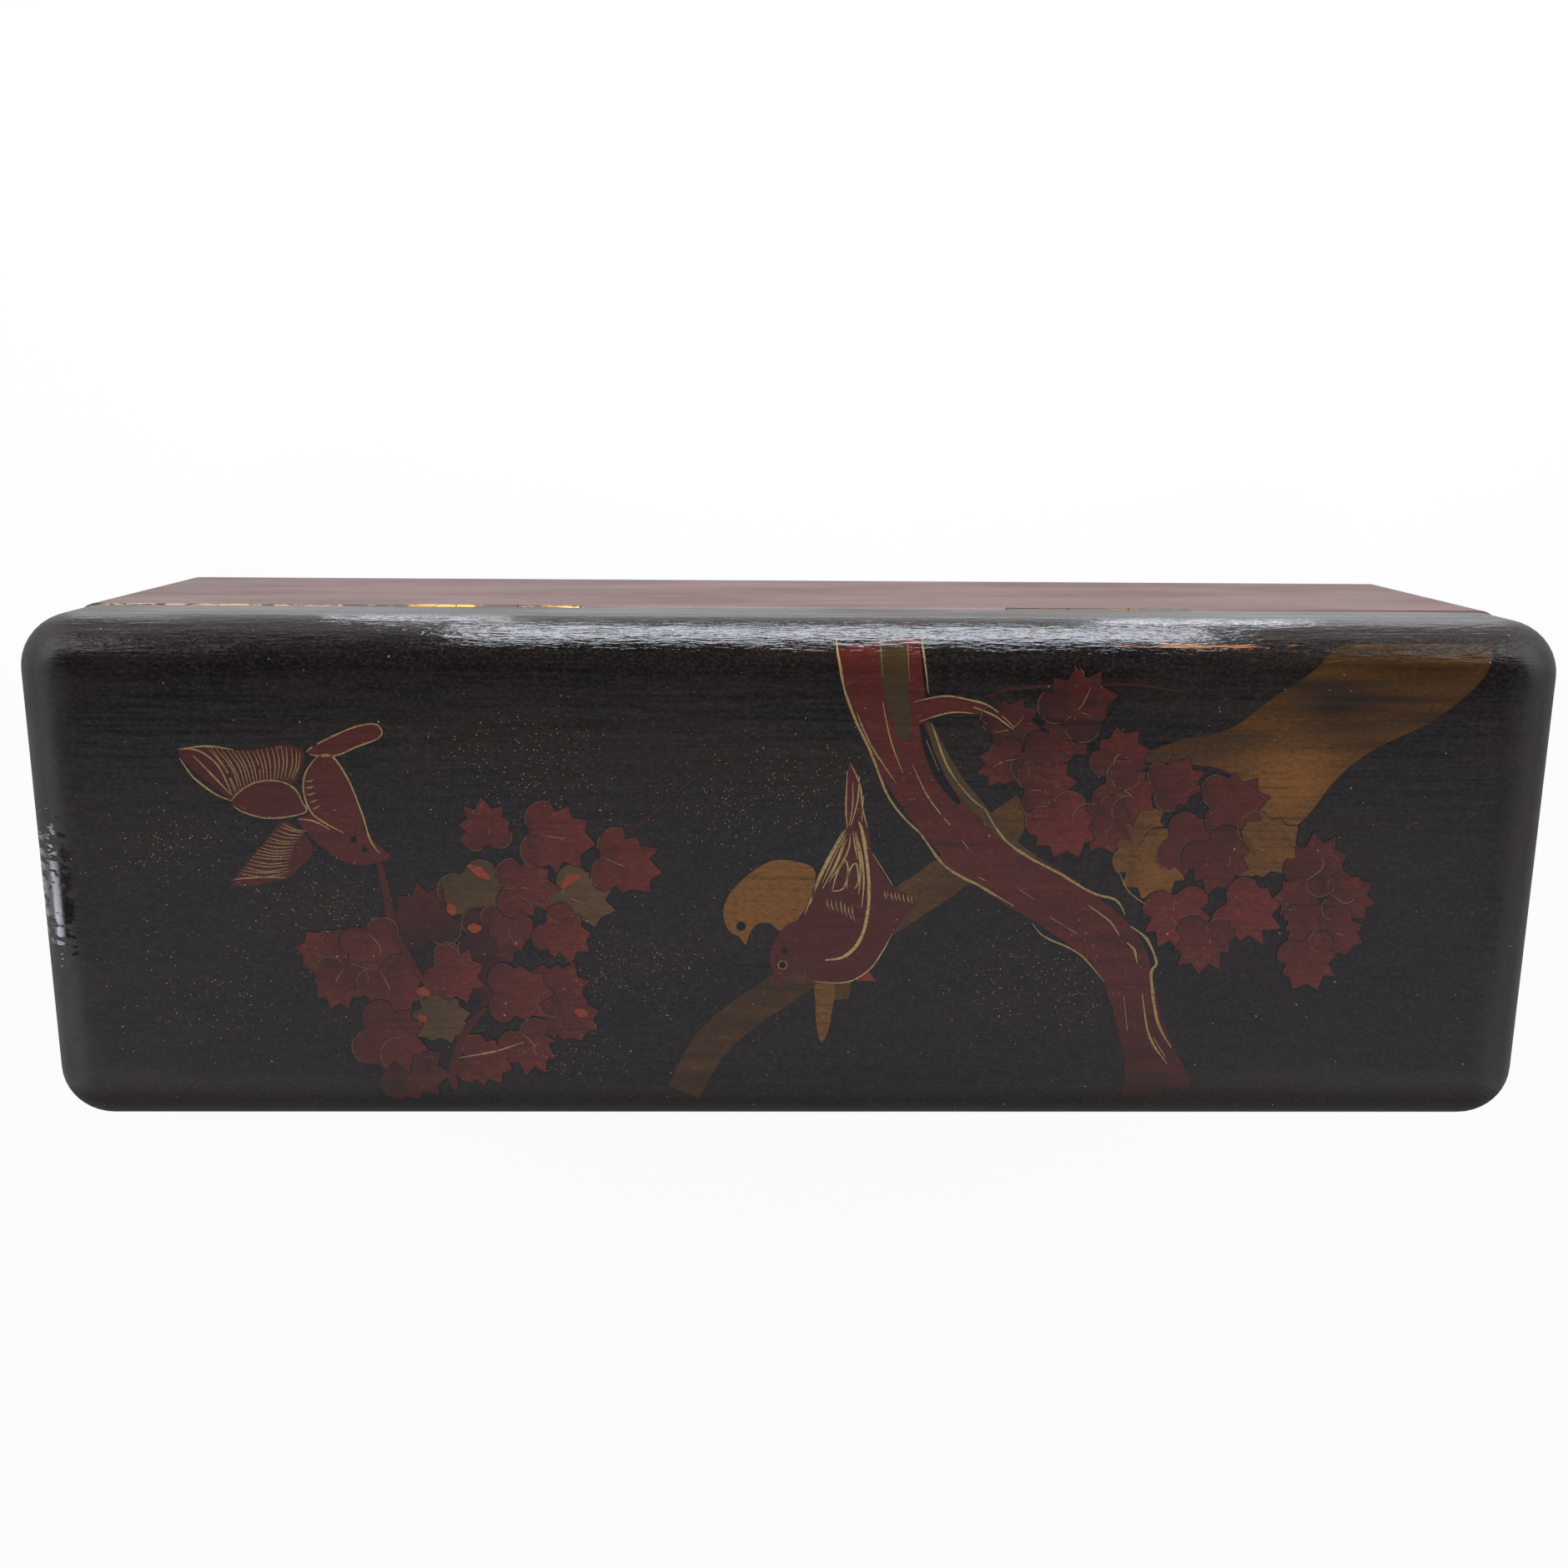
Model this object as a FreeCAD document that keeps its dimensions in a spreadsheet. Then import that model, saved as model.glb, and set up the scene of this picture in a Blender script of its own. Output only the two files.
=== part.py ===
"""Lacquered glove box with a hinged, cushion-edged lid, in millimetres.

X runs along the box, Y from the front to the hinged back, Z up.
The origin is on the base plane, under the middle of the closed lid.
"""

import FreeCAD
import Part
import Sketcher
import os

# Driving dimensions, one cell each.
DRIVING = {
    # Overall form: the lid overhangs the body at the front and both ends, and is flush at the back.
    "lid_length": 290,
    "lid_depth": 100,
    "end_overhang": 5.5,
    "front_overhang": 5,
    "body_height": 60,
    "seam_gap": 0.4,
    # Body boards: end walls let into the long walls, bottom board in a rebate.
    "wall_thickness": 7,
    "corner_lap": 3.5,
    "bottom_thickness": 6,
    "bottom_lap": 3.5,
    "bottom_clearance": 0.2,
    "corner_round": 2.5,
    "base_round": 1.5,
    # Lid: a panel with quarter-round edges on a mitred frame of rails.
    "lid_edge_radius": 9.5,
    "lid_corner_extra": 1,
    "lid_panel_lip": 0.5,
    "rail_height": 12,
    "rail_width": 12,
    # Hinges: the axis lies just inside the back, in the bevelled seam that stops the open lid.
    "hinge_spacing": 120,
    "hinge_length": 36,
    "hinge_setback": 1,
    "opening_angle": 100,
    "knuckle_count": 3,
    "knuckle_radius": 1.3,
    "knuckle_gap": 0.2,
    "knuckle_clearance": 0.3,
    "pin_radius": 0.6,
    "pin_clearance": 0.05,
    "leaf_width": 5.2,
    "leaf_thickness": 0.9,
    "leaf_clearance": 0.1,
    # Brass nails, two in each leaf, their flat heads sunk flush.
    "nail_spacing": 20,
    "nail_length": 6,
    "nail_radius": 0.6,
    "nail_head_radius": 1.1,
    "nail_head_height": 0.35,
    "nail_clearance": 0.05,
    # Whittled pegs: hidden ones at the corners and under the lid panel, driven ones in the bottom.
    "corner_peg_radius": 1.1,
    "corner_peg_length": 14,
    "corner_peg_bite": 2,
    "bottom_peg_radius": 0.8,
    "bottom_peg_length": 14,
    "lid_peg_radius": 1.1,
    "lid_peg_length": 9,
    "lid_peg_bite": 4,
    "peg_clearance": 0.05,
    # Every cut runs past its board by this much.
    "overrun": 1,
}

# Places of the pegs, as shares of the length that each row follows.
CORNER_PEG_SHARES = (0.25, 0.5, 0.75)
BOTTOM_LONG_SHARES = (-0.4, -0.2, 0, 0.2, 0.4)
BOTTOM_END_SHARES = (-0.25, 0.25)
LID_LONG_SHARES = (-0.38, -0.1, 0.1, 0.38)
LID_END_SHARES = (-0.22, 0.22)

# Pegs are whittled to six sides, and the shanks of the nails are cut square.
PEG_SIDES = 6
NAIL_SIDES = 4

# Lengths and places worked out from the driving dimensions.
BODY_LENGTH = "(Sizes.lid_length - 2 * Sizes.end_overhang)"
BODY_DEPTH = "(Sizes.lid_depth - Sizes.front_overhang)"
BODY_Y = "(Sizes.front_overhang / 2)"
BACK_Y = "(Sizes.lid_depth / 2)"
INNER_LENGTH = f"({BODY_LENGTH} - 2 * Sizes.wall_thickness)"
INNER_DEPTH = f"({BODY_DEPTH} - 2 * Sizes.wall_thickness)"
RIM_Z = "(Sizes.body_height)"
LID_Z = "(Sizes.body_height + Sizes.seam_gap)"
PANEL_Z = f"({LID_Z} + Sizes.rail_height)"
PANEL_THICKNESS = "(Sizes.lid_edge_radius + Sizes.lid_panel_lip)"
CORNER_RADIUS = "(Sizes.lid_edge_radius + Sizes.lid_corner_extra)"
AXIS_Y = f"({BACK_Y} - Sizes.hinge_setback)"
AXIS_Z = "(Sizes.body_height + Sizes.seam_gap / 2)"
BEVEL_HEIGHT = "(Sizes.hinge_setback * tan(Sizes.opening_angle / 2))"
BORE_RADIUS = "(Sizes.pin_radius + Sizes.pin_clearance)"
RUNNING_RADIUS = "(Sizes.knuckle_radius + Sizes.knuckle_clearance)"
KNUCKLE_PITCH = "(Sizes.hinge_length / Sizes.knuckle_count)"
NAIL_Y = f"({AXIS_Y} - (Sizes.leaf_width + {RUNNING_RADIUS}) / 2)"

doc = FreeCAD.newDocument("lacquered_box")
sheet = doc.addObject("Spreadsheet::Sheet", "Sizes")
for row, (alias, number) in enumerate(DRIVING.items(), start=1):
    sheet.set(f"A{row}", alias)
    sheet.set(f"B{row}", str(number))
    sheet.setAlias(f"B{row}", alias)
doc.recompute()

nodes = {}


def value(expression):
    """The present value of an expression over the sheet."""
    return float(sheet.evalExpression(expression))


def near(first, second):
    """True where two lengths agree to within a modelling tolerance."""
    tolerance_share = 1e-5
    return abs(first - second) < tolerance_share * value("Sizes.lid_length")


def bind(item, **expressions):
    """Bind properties of an object to expressions."""
    for name, expression in expressions.items():
        item.setExpression(name, expression)
    return item


def bind_place(item, path, x, y, z):
    """Bind the three coordinates of a placement to expressions."""
    for letter, expression in zip("xyz", (x, y, z)):
        item.setExpression(f"{path}.Base.{letter}", expression)
    return item


def add_node(label, item):
    """Give an object its node's name and list it for writing."""
    item.Label = label
    nodes[label] = item
    return item


# Sketches and features of bodies

def new_sketch(body, name, role, x, y, z):
    """A sketch on one of the body's origin planes, its own origin moved to x, y, z."""
    local = {"XY_Plane": (x, y, z), "YZ_Plane": (y, z, x)}[role]
    sketch = body.newObject("Sketcher::SketchObject", name)
    plane = next(item for item in body.Origin.OriginFeatures if item.Role == role)
    sketch.AttachmentSupport = [(plane, "")]
    sketch.MapMode = "FlatFace"
    return bind_place(sketch, "AttachmentOffset", *local)


def name_length(sketch, kind, references, name, expression):
    """Add a named dimension to a sketch and bind it."""
    number = sketch.addConstraint(Sketcher.Constraint(kind, *references, value(expression)))
    sketch.renameConstraint(number, name)
    sketch.setExpression(f"Constraints.{name}", expression)


def draw_outline(sketch, points):
    """Closed straight outline; neighbouring lines share their ends."""
    corners = [FreeCAD.Vector(*point, 0) for point in points]
    ends = corners[1:] + corners[:1]
    sketch.addGeometry([Part.LineSegment(start, end) for start, end in zip(corners, ends)])
    for line in range(len(corners)):
        following = (line + 1) % len(corners)
        sketch.addConstraint(Sketcher.Constraint("Coincident", line, 2, following, 1))


def draw_rectangle(sketch, width, height):
    """Rectangle centred on the sketch's origin."""
    right = value(width) / 2
    top = value(height) / 2
    draw_outline(sketch, [(-right, -top), (right, -top), (right, top), (-right, top)])
    for line, kind in enumerate(("Horizontal", "Vertical", "Horizontal", "Vertical")):
        sketch.addConstraint(Sketcher.Constraint(kind, line))
    sketch.addConstraint(Sketcher.Constraint("Symmetric", 0, 1, 2, 1, -1, 1))
    name_length(sketch, "DistanceX", (0, 1, 0, 2), "width", width)
    name_length(sketch, "DistanceY", (1, 1, 1, 2), "height", height)


def draw_circle(sketch, radius):
    """Circle centred on the sketch's origin."""
    sketch.addGeometry(Part.Circle(FreeCAD.Vector(), FreeCAD.Vector(0, 0, 1), value(radius)))
    sketch.addConstraint(Sketcher.Constraint("Coincident", 0, 3, -1, 1))
    name_length(sketch, "Radius", (0,), "radius", radius)


def draw_bevel(sketch, way):
    """Triangle from the hinge line out to the back, where it rises (1) or drops (-1)."""
    reach = value("Sizes.hinge_setback")
    draw_outline(sketch, [(0, 0), (reach, 0), (reach, way * value(BEVEL_HEIGHT))])
    sketch.addConstraint(Sketcher.Constraint("Horizontal", 0))
    sketch.addConstraint(Sketcher.Constraint("Vertical", 1))
    sketch.addConstraint(Sketcher.Constraint("Coincident", 0, 1, -1, 1))
    low_end, high_end = (1, 2) if way > 0 else (2, 1)
    name_length(sketch, "DistanceX", (0, 1, 0, 2), "reach", "Sizes.hinge_setback")
    name_length(sketch, "DistanceY", (1, low_end, 1, high_end), "rise", BEVEL_HEIGHT)


def extrude(body, kind, sketch, length):
    """Pad or Pocket, half to each side of its sketch."""
    feature = body.newObject(f"PartDesign::{kind}", f"{sketch.Name}_{kind.lower()}")
    feature.Profile = sketch
    feature.SideType = "Symmetric"
    return bind(feature, Length=length)


def block(body, kind, name, place, size):
    """Rectangular pad or pocket about a middle point."""
    sketch = new_sketch(body, name, "XY_Plane", *place)
    draw_rectangle(sketch, size[0], size[1])
    return extrude(body, kind, sketch, size[2])


def bar(body, kind, name, place, radius, length):
    """Round pad or pocket along X about a middle point."""
    sketch = new_sketch(body, name, "YZ_Plane", *place)
    draw_circle(sketch, radius)
    return extrude(body, kind, sketch, length)


def round_edges(body, name, radius, is_chosen):
    """Fillet of the edges of the body's tip whose middle point passes a test."""
    doc.recompute()
    base = body.Tip
    chosen = []
    for number, edge in enumerate(base.Shape.Edges, start=1):
        middle = edge.valueAt((edge.FirstParameter + edge.LastParameter) / 2)
        if is_chosen(edge, middle):
            chosen.append(f"Edge{number}")
    fillet = body.newObject("PartDesign::Fillet", name)
    fillet.Base = (base, chosen)
    return bind(fillet, Radius=radius)


def is_upright(edge):
    """True for a vertical edge."""
    ends = [vertex.Point for vertex in edge.Vertexes]
    return len(ends) == 2 and near(ends[0].x, ends[1].x) and near(ends[0].y, ends[1].y)


# Primitives and booleans

def box(name, place, size):
    """Box about a middle point."""
    item = bind(doc.addObject("Part::Box", name), Length=size[0], Width=size[1], Height=size[2])
    corner = [f"{middle} - {extent} / 2" for middle, extent in zip(place, size)]
    return bind_place(item, "Placement", *corner)


def stand(item, start, direction):
    """Put an upright primitive at a start point, along a unit direction."""
    turn = FreeCAD.Rotation(FreeCAD.Vector(0, 0, 1), FreeCAD.Vector(*direction))
    item.Placement = FreeCAD.Placement(FreeCAD.Vector(), turn)
    return bind_place(item, "Placement", *start)


def rod(name, start, radius, length, direction):
    """Cylinder from a start point along a unit direction."""
    item = bind(doc.addObject("Part::Cylinder", name), Radius=radius, Height=length)
    return stand(item, start, direction)


def shaft(name, sides, start, radius, length, direction):
    """Many-sided peg or nail shank from a start point along a unit direction."""
    item = bind(doc.addObject("Part::Prism", name), Circumradius=radius, Height=length)
    item.Polygon = sides
    return stand(item, start, direction)


def group(name, members):
    """Several separate solids in one object."""
    item = doc.addObject("Part::Compound", name)
    item.Links = members
    return item


def boolean(kind, name, base, tool):
    """Part::Cut or Part::Common of two objects."""
    item = doc.addObject(f"Part::{kind}", name)
    item.Base = base
    item.Tool = tool
    return item


# Pegs: each row is made once for the pegs and once, wider, for their holes

def corner_peg_row(name, grow):
    """Hidden pegs that lock the end walls into the long walls."""
    radius = f"Sizes.corner_peg_radius + {grow}"
    length = f"Sizes.corner_peg_length + 2 * {grow}"
    members = []
    for end in (-1, 1):
        for side in (-1, 1):
            for share in CORNER_PEG_SHARES:
                reach = f"({BODY_DEPTH} / 2 - Sizes.wall_thickness + Sizes.corner_lap)"
                start = (
                    f"{end} * ({BODY_LENGTH} - Sizes.wall_thickness) / 2",
                    f"{BODY_Y} + {side} * ({reach} + Sizes.corner_peg_bite + {grow})",
                    f"{share} * Sizes.body_height",
                )
                inward = (0, -side, 0)
                members.append(shaft(f"{name}_{len(members)}", PEG_SIDES, start, radius, length, inward))
    return group(name, members)


def bottom_peg_row(name, grow):
    """Pegs driven up through the bottom board into the walls."""
    radius = f"Sizes.bottom_peg_radius + {grow}"
    length = f"Sizes.bottom_peg_length + {grow}"
    side_y = f"({INNER_DEPTH} + Sizes.bottom_lap) / 2"
    end_x = f"({INNER_LENGTH} + Sizes.bottom_lap) / 2"
    places = []
    for side in (-1, 1):
        for share in BOTTOM_LONG_SHARES:
            places.append((f"{share} * {BODY_LENGTH}", f"{BODY_Y} + {side} * {side_y}"))
        for share in BOTTOM_END_SHARES:
            places.append((f"{side} * {end_x}", f"{BODY_Y} + {share} * {BODY_DEPTH}"))
    members = []
    for x, y in places:
        members.append(shaft(f"{name}_{len(members)}", PEG_SIDES, (x, y, "0"), radius, length, (0, 0, 1)))
    return group(name, members)


def lid_peg_row(name, grow):
    """Hidden pegs between the lid's rails and its panel."""
    radius = f"Sizes.lid_peg_radius + {grow}"
    length = f"Sizes.lid_peg_length + 2 * {grow}"
    bottom = f"{PANEL_Z} + Sizes.lid_peg_bite - Sizes.lid_peg_length - {grow}"
    places = []
    for side in (-1, 1):
        for share in LID_LONG_SHARES:
            row_y = f"{side} * (Sizes.lid_depth - Sizes.rail_width) / 2"
            places.append((f"{share} * Sizes.lid_length", row_y))
        for share in LID_END_SHARES:
            row_x = f"{side} * (Sizes.lid_length - Sizes.rail_width) / 2"
            places.append((row_x, f"{share} * Sizes.lid_depth"))
    members = []
    for x, y in places:
        start = (x, y, bottom)
        members.append(shaft(f"{name}_{len(members)}", PEG_SIDES, start, radius, length, (0, 0, 1)))
    return group(name, members)


# Hinge nails: made once as nails and once, wider, for their holes

def flush_nail(name, x, upward, grow):
    """Flat head and square shank; the head's top lies in the face that the nail enters."""
    place = (x, NAIL_Y, LID_Z if upward else RIM_Z)
    along = (0, 0, 1 if upward else -1)
    head_radius = f"Sizes.nail_head_radius + {grow}"
    head_height = f"Sizes.nail_head_height + {grow}"
    shank_radius = f"Sizes.nail_radius + {grow}"
    shank_length = f"Sizes.nail_length + {grow}"
    nail = doc.addObject("Part::MultiFuse", name)
    nail.Shapes = [
        rod(f"{name}_head", place, head_radius, head_height, along),
        shaft(f"{name}_shank", NAIL_SIDES, place, shank_radius, shank_length, along),
    ]
    return nail


def hinge_x(side):
    """Middle of the left (-1) or right (1) hinge along the box."""
    return f"({side} * Sizes.hinge_spacing / 2)"


def nail_row(name, sides, upward, grow):
    """Two nails in each leaf of the chosen hinges."""
    members = []
    for side in sides:
        for end in (-1, 1):
            x = f"{hinge_x(side)} + {end} * Sizes.nail_spacing / 2"
            members.append(flush_nail(f"{name}_{len(members)}", x, upward, grow))
    return group(name, members)


def hinge_seats(name, face_z, way):
    """Mortises for both leaves and grooves for both knuckles, in the board on one side of the seam."""
    members = []
    for side in (-1, 1):
        seat_length = "(Sizes.hinge_length + 2 * Sizes.leaf_clearance)"
        seat_width = "(Sizes.leaf_width + Sizes.leaf_clearance)"
        seat_depth = "(Sizes.leaf_thickness + Sizes.overrun)"
        seat_z = f"{face_z} + {way} * (Sizes.leaf_thickness - Sizes.overrun) / 2"
        place = (hinge_x(side), f"{AXIS_Y} - {seat_width} / 2", seat_z)
        members.append(box(f"{name}_leaf_{len(members)}", place, (seat_length, seat_width, seat_depth)))
        start = (f"{hinge_x(side)} - {seat_length} / 2", AXIS_Y, AXIS_Z)
        groove = rod(f"{name}_groove_{len(members)}", start, RUNNING_RADIUS, seat_length, (1, 0, 0))
        members.append(groove)
    seats = doc.addObject("Part::MultiFuse", name)
    seats.Shapes = members
    return seats


# Body

def long_wall(label, side):
    """Front (-1) or back (1) wall: corner laps at its ends, rebate for the bottom, rounded outside."""
    outer_y = f"({BODY_Y} + {side} * {BODY_DEPTH} / 2)"
    inner_y = f"({outer_y} - {side} * Sizes.wall_thickness)"
    body = doc.addObject("PartDesign::Body", f"{label}_board")
    middle = ("0", f"({outer_y} + {inner_y}) / 2", "Sizes.body_height / 2")
    block(body, "Pad", f"{label}_blank", middle, (BODY_LENGTH, "Sizes.wall_thickness", "Sizes.body_height"))
    rebate_place = ("0", f"{inner_y} + {side} * (Sizes.bottom_lap - Sizes.overrun) / 2", "0")
    rebate_size = (
        f"{BODY_LENGTH} + Sizes.overrun",
        "Sizes.bottom_lap + Sizes.overrun",
        "2 * Sizes.bottom_thickness",
    )
    block(body, "Pocket", f"{label}_rebate", rebate_place, rebate_size)
    for end in (-1, 1):
        lap_x = f"{end} * ({BODY_LENGTH} - Sizes.wall_thickness + Sizes.overrun) / 2"
        lap_y = f"{inner_y} + {side} * (Sizes.corner_lap - Sizes.overrun) / 2"
        lap_size = (
            "Sizes.wall_thickness + Sizes.overrun",
            "Sizes.corner_lap + Sizes.overrun",
            "2 * Sizes.body_height + Sizes.overrun",
        )
        lap_name = f"{label}_lap_{'left' if end < 0 else 'right'}"
        block(body, "Pocket", lap_name, (lap_x, lap_y, "0"), lap_size)

    def is_outer_corner(edge, point):
        at_end = near(abs(point.x), value(BODY_LENGTH) / 2)
        return is_upright(edge) and at_end and near(point.y, value(outer_y))

    def is_outer_base(edge, point):
        beyond_lap = side * (point.y - value(inner_y)) > value("Sizes.corner_lap")
        at_inner_line = near(side * (point.y - value(inner_y)), value("Sizes.bottom_lap"))
        return near(point.z, 0) and beyond_lap and not at_inner_line

    round_edges(body, f"{label}_corners", "Sizes.corner_round", is_outer_corner)
    round_edges(body, f"{label}_base", "Sizes.base_round", is_outer_base)
    if side > 0:
        sketch = new_sketch(body, f"{label}_bevel", "YZ_Plane", "0", AXIS_Y, RIM_Z)
        draw_bevel(sketch, -1)
        extrude(body, "Pocket", sketch, f"{BODY_LENGTH} + Sizes.overrun")
    return body


def end_wall(label, end):
    """Left (-1) or right (1) wall: let into the long walls, rebate for the bottom."""
    outer_x = f"({end} * {BODY_LENGTH} / 2)"
    inner_x = f"({end} * {INNER_LENGTH} / 2)"
    wall_length = f"({INNER_DEPTH} + 2 * Sizes.corner_lap)"
    body = doc.addObject("PartDesign::Body", f"{label}_board")
    middle = (f"({outer_x} + {inner_x}) / 2", BODY_Y, "Sizes.body_height / 2")
    block(body, "Pad", f"{label}_blank", middle, ("Sizes.wall_thickness", wall_length, "Sizes.body_height"))
    rebate_place = (f"{inner_x} + {end} * (Sizes.bottom_lap - Sizes.overrun) / 2", BODY_Y, "0")
    rebate_size = (
        "Sizes.bottom_lap + Sizes.overrun",
        f"{wall_length} + Sizes.overrun",
        "2 * Sizes.bottom_thickness",
    )
    block(body, "Pocket", f"{label}_rebate", rebate_place, rebate_size)

    def is_outer_base(edge, point):
        return near(point.z, 0) and near(point.x, value(outer_x))

    round_edges(body, f"{label}_base", "Sizes.base_round", is_outer_base)
    return body


def bottom_board():
    """Board that lies in the walls' rebate, against its shoulder."""
    length = f"{INNER_LENGTH} + 2 * (Sizes.bottom_lap - Sizes.bottom_clearance)"
    depth = f"{INNER_DEPTH} + 2 * (Sizes.bottom_lap - Sizes.bottom_clearance)"
    body = doc.addObject("PartDesign::Body", "bottom_blank")
    place = ("0", BODY_Y, "Sizes.bottom_thickness / 2")
    block(body, "Pad", "bottom_outline", place, (length, depth, "Sizes.bottom_thickness"))
    return body


# Lid

def rounded_slab(name, bottom_z, thickness):
    """Slab with the lid's outline and rounded corners in plan."""
    body = doc.addObject("PartDesign::Body", name)
    place = ("0", "0", f"{bottom_z} + {thickness} / 2")
    block(body, "Pad", f"{name}_outline", place, ("Sizes.lid_length", "Sizes.lid_depth", thickness))
    round_edges(body, f"{name}_corners", CORNER_RADIUS, lambda edge, point: is_upright(edge))
    return body


def lid_panel_board():
    """The top of the lid: a slab whose whole upper edge is a quarter round."""
    body = rounded_slab("lid_panel_board", PANEL_Z, PANEL_THICKNESS)
    top_z = value(f"{PANEL_Z} + {PANEL_THICKNESS}")
    round_edges(body, "lid_panel_edge", "Sizes.lid_edge_radius", lambda edge, point: near(point.z, top_z))
    return body


def rail_frame():
    """Blank for the four rails, softened along its lower edge as far in as the hinge line."""
    body = rounded_slab("rail_frame", LID_Z, "Sizes.rail_height")
    low_z = value(LID_Z)
    round_edges(body, "rail_frame_lip", "Sizes.hinge_setback", lambda edge, point: near(point.z, low_z))
    return body


def mitred_rail(label, frame, length, turn, place):
    """One rail: the part of the frame in a wedge mitred at both ends, outer face at the wedge's y = 0."""
    wedge = bind(
        doc.addObject("Part::Wedge", f"{label}_mitre"),
        Xmin=f"-{length} / 2",
        Xmax=f"{length} / 2",
        X2min=f"Sizes.rail_width - {length} / 2",
        X2max=f"{length} / 2 - Sizes.rail_width",
        Ymin="0",
        Ymax="Sizes.rail_width",
        Zmin="0",
        Zmax="Sizes.rail_height",
        Z2min="0",
        Z2max="Sizes.rail_height",
    )
    rotation = FreeCAD.Rotation(FreeCAD.Vector(0, 0, 1), turn)
    wedge.Placement = FreeCAD.Placement(FreeCAD.Vector(), rotation)
    bind_place(wedge, "Placement", place[0], place[1], LID_Z)
    return boolean("Common", f"{label}_stock", frame, wedge)


def lid_bevel():
    """Prism that bevels the lid's lower back edge."""
    body = doc.addObject("PartDesign::Body", "lid_bevel")
    sketch = new_sketch(body, "lid_bevel_section", "YZ_Plane", "0", AXIS_Y, LID_Z)
    draw_bevel(sketch, 1)
    extrude(body, "Pad", sketch, "Sizes.lid_length + Sizes.overrun")
    return body


# Hinges

def hinge_leaf(label, side, on_lid):
    """Leaf with its alternate knuckles: the body's leaf has the outer ones, the lid's the inner ones."""
    x = hinge_x(side)
    way = 1 if on_lid else -1
    face_z = LID_Z if on_lid else RIM_Z
    body = doc.addObject("PartDesign::Body", f"{label}_plate")
    plate_place = (x, f"{AXIS_Y} - Sizes.leaf_width / 2", f"{face_z} + {way} * Sizes.leaf_thickness / 2")
    plate_size = ("Sizes.hinge_length", "Sizes.leaf_width", "Sizes.leaf_thickness")
    block(body, "Pad", f"{label}_flat", plate_place, plate_size)
    bar(body, "Pad", f"{label}_barrel", (x, AXIS_Y, AXIS_Z), "Sizes.knuckle_radius", "Sizes.hinge_length")
    first_gap = 0 if on_lid else 1
    for knuckle in range(first_gap, DRIVING["knuckle_count"], 2):
        gap_x = f"{x} + ({knuckle} + 1 / 2) * {KNUCKLE_PITCH} - Sizes.hinge_length / 2"
        gap_size = (
            f"{KNUCKLE_PITCH} + Sizes.knuckle_gap",
            f"2 * {RUNNING_RADIUS}",
            f"2 * {RUNNING_RADIUS}",
        )
        block(body, "Pocket", f"{label}_gap_{knuckle}", (gap_x, AXIS_Y, AXIS_Z), gap_size)
    bore_length = "Sizes.hinge_length + Sizes.overrun"
    bar(body, "Pocket", f"{label}_bore", (x, AXIS_Y, AXIS_Z), BORE_RADIUS, bore_length)
    holes = nail_row(f"{label}_holes", (side,), on_lid, "Sizes.nail_clearance")
    return boolean("Cut", label, body, holes)


def hinge_pin(label, side):
    """Pin through all the knuckles of one hinge."""
    body = doc.addObject("PartDesign::Body", label)
    place = (hinge_x(side), AXIS_Y, AXIS_Z)
    bar(body, "Pad", f"{label}_rod", place, "Sizes.pin_radius", "Sizes.hinge_length")
    return body


# Assembly of the body
corner_holes = corner_peg_row("corner_holes", "Sizes.peg_clearance")
bottom_holes = bottom_peg_row("bottom_holes", "Sizes.peg_clearance")
body_holes = group("body_holes", [corner_holes, bottom_holes])
body_seats = hinge_seats("body_hinge_seats", RIM_Z, -1)
body_nail_holes = nail_row("body_nail_holes", (-1, 1), False, "Sizes.nail_clearance")
back_cuts = group("back_cuts", [body_seats, body_nail_holes])

add_node("front_wall", boolean("Cut", "front_wall", long_wall("front", -1), body_holes))
back_board = boolean("Cut", "back_pegged", long_wall("back", 1), body_holes)
add_node("back_wall", boolean("Cut", "back_wall", back_board, back_cuts))
add_node("left_end_wall", boolean("Cut", "left_end_wall", end_wall("left_end", -1), body_holes))
add_node("right_end_wall", boolean("Cut", "right_end_wall", end_wall("right_end", 1), body_holes))
add_node("bottom_board", boolean("Cut", "bottom_board", bottom_board(), bottom_holes))
add_node("corner_pegs", corner_peg_row("corner_pegs", "0"))
add_node("bottom_pegs", bottom_peg_row("bottom_pegs", "0"))

# Assembly of the lid
lid_holes = lid_peg_row("lid_holes", "Sizes.peg_clearance")
lid_seats = hinge_seats("lid_hinge_seats", LID_Z, 1)
lid_nail_holes = nail_row("lid_nail_holes", (-1, 1), True, "Sizes.nail_clearance")
lid_back_cuts = group("lid_back_cuts", [lid_bevel(), lid_seats, lid_nail_holes])
frame_blank = rail_frame()

add_node("lid_panel", boolean("Cut", "lid_panel", lid_panel_board(), lid_holes))
RAILS = {
    "lid_front_rail": ("Sizes.lid_length", 0, ("0", "-Sizes.lid_depth / 2")),
    "lid_right_rail": ("Sizes.lid_depth", 90, ("Sizes.lid_length / 2", "0")),
    "lid_back_rail": ("Sizes.lid_length", 180, ("0", "Sizes.lid_depth / 2")),
    "lid_left_rail": ("Sizes.lid_depth", -90, ("-Sizes.lid_length / 2", "0")),
}
for label, (length, turn, place) in RAILS.items():
    rail = boolean("Cut", f"{label}_pegged", mitred_rail(label, frame_blank, length, turn, place), lid_holes)
    if label == "lid_back_rail":
        rail = boolean("Cut", f"{label}_seated", rail, lid_back_cuts)
    add_node(label, rail)
add_node("lid_pegs", lid_peg_row("lid_pegs", "0"))

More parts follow.
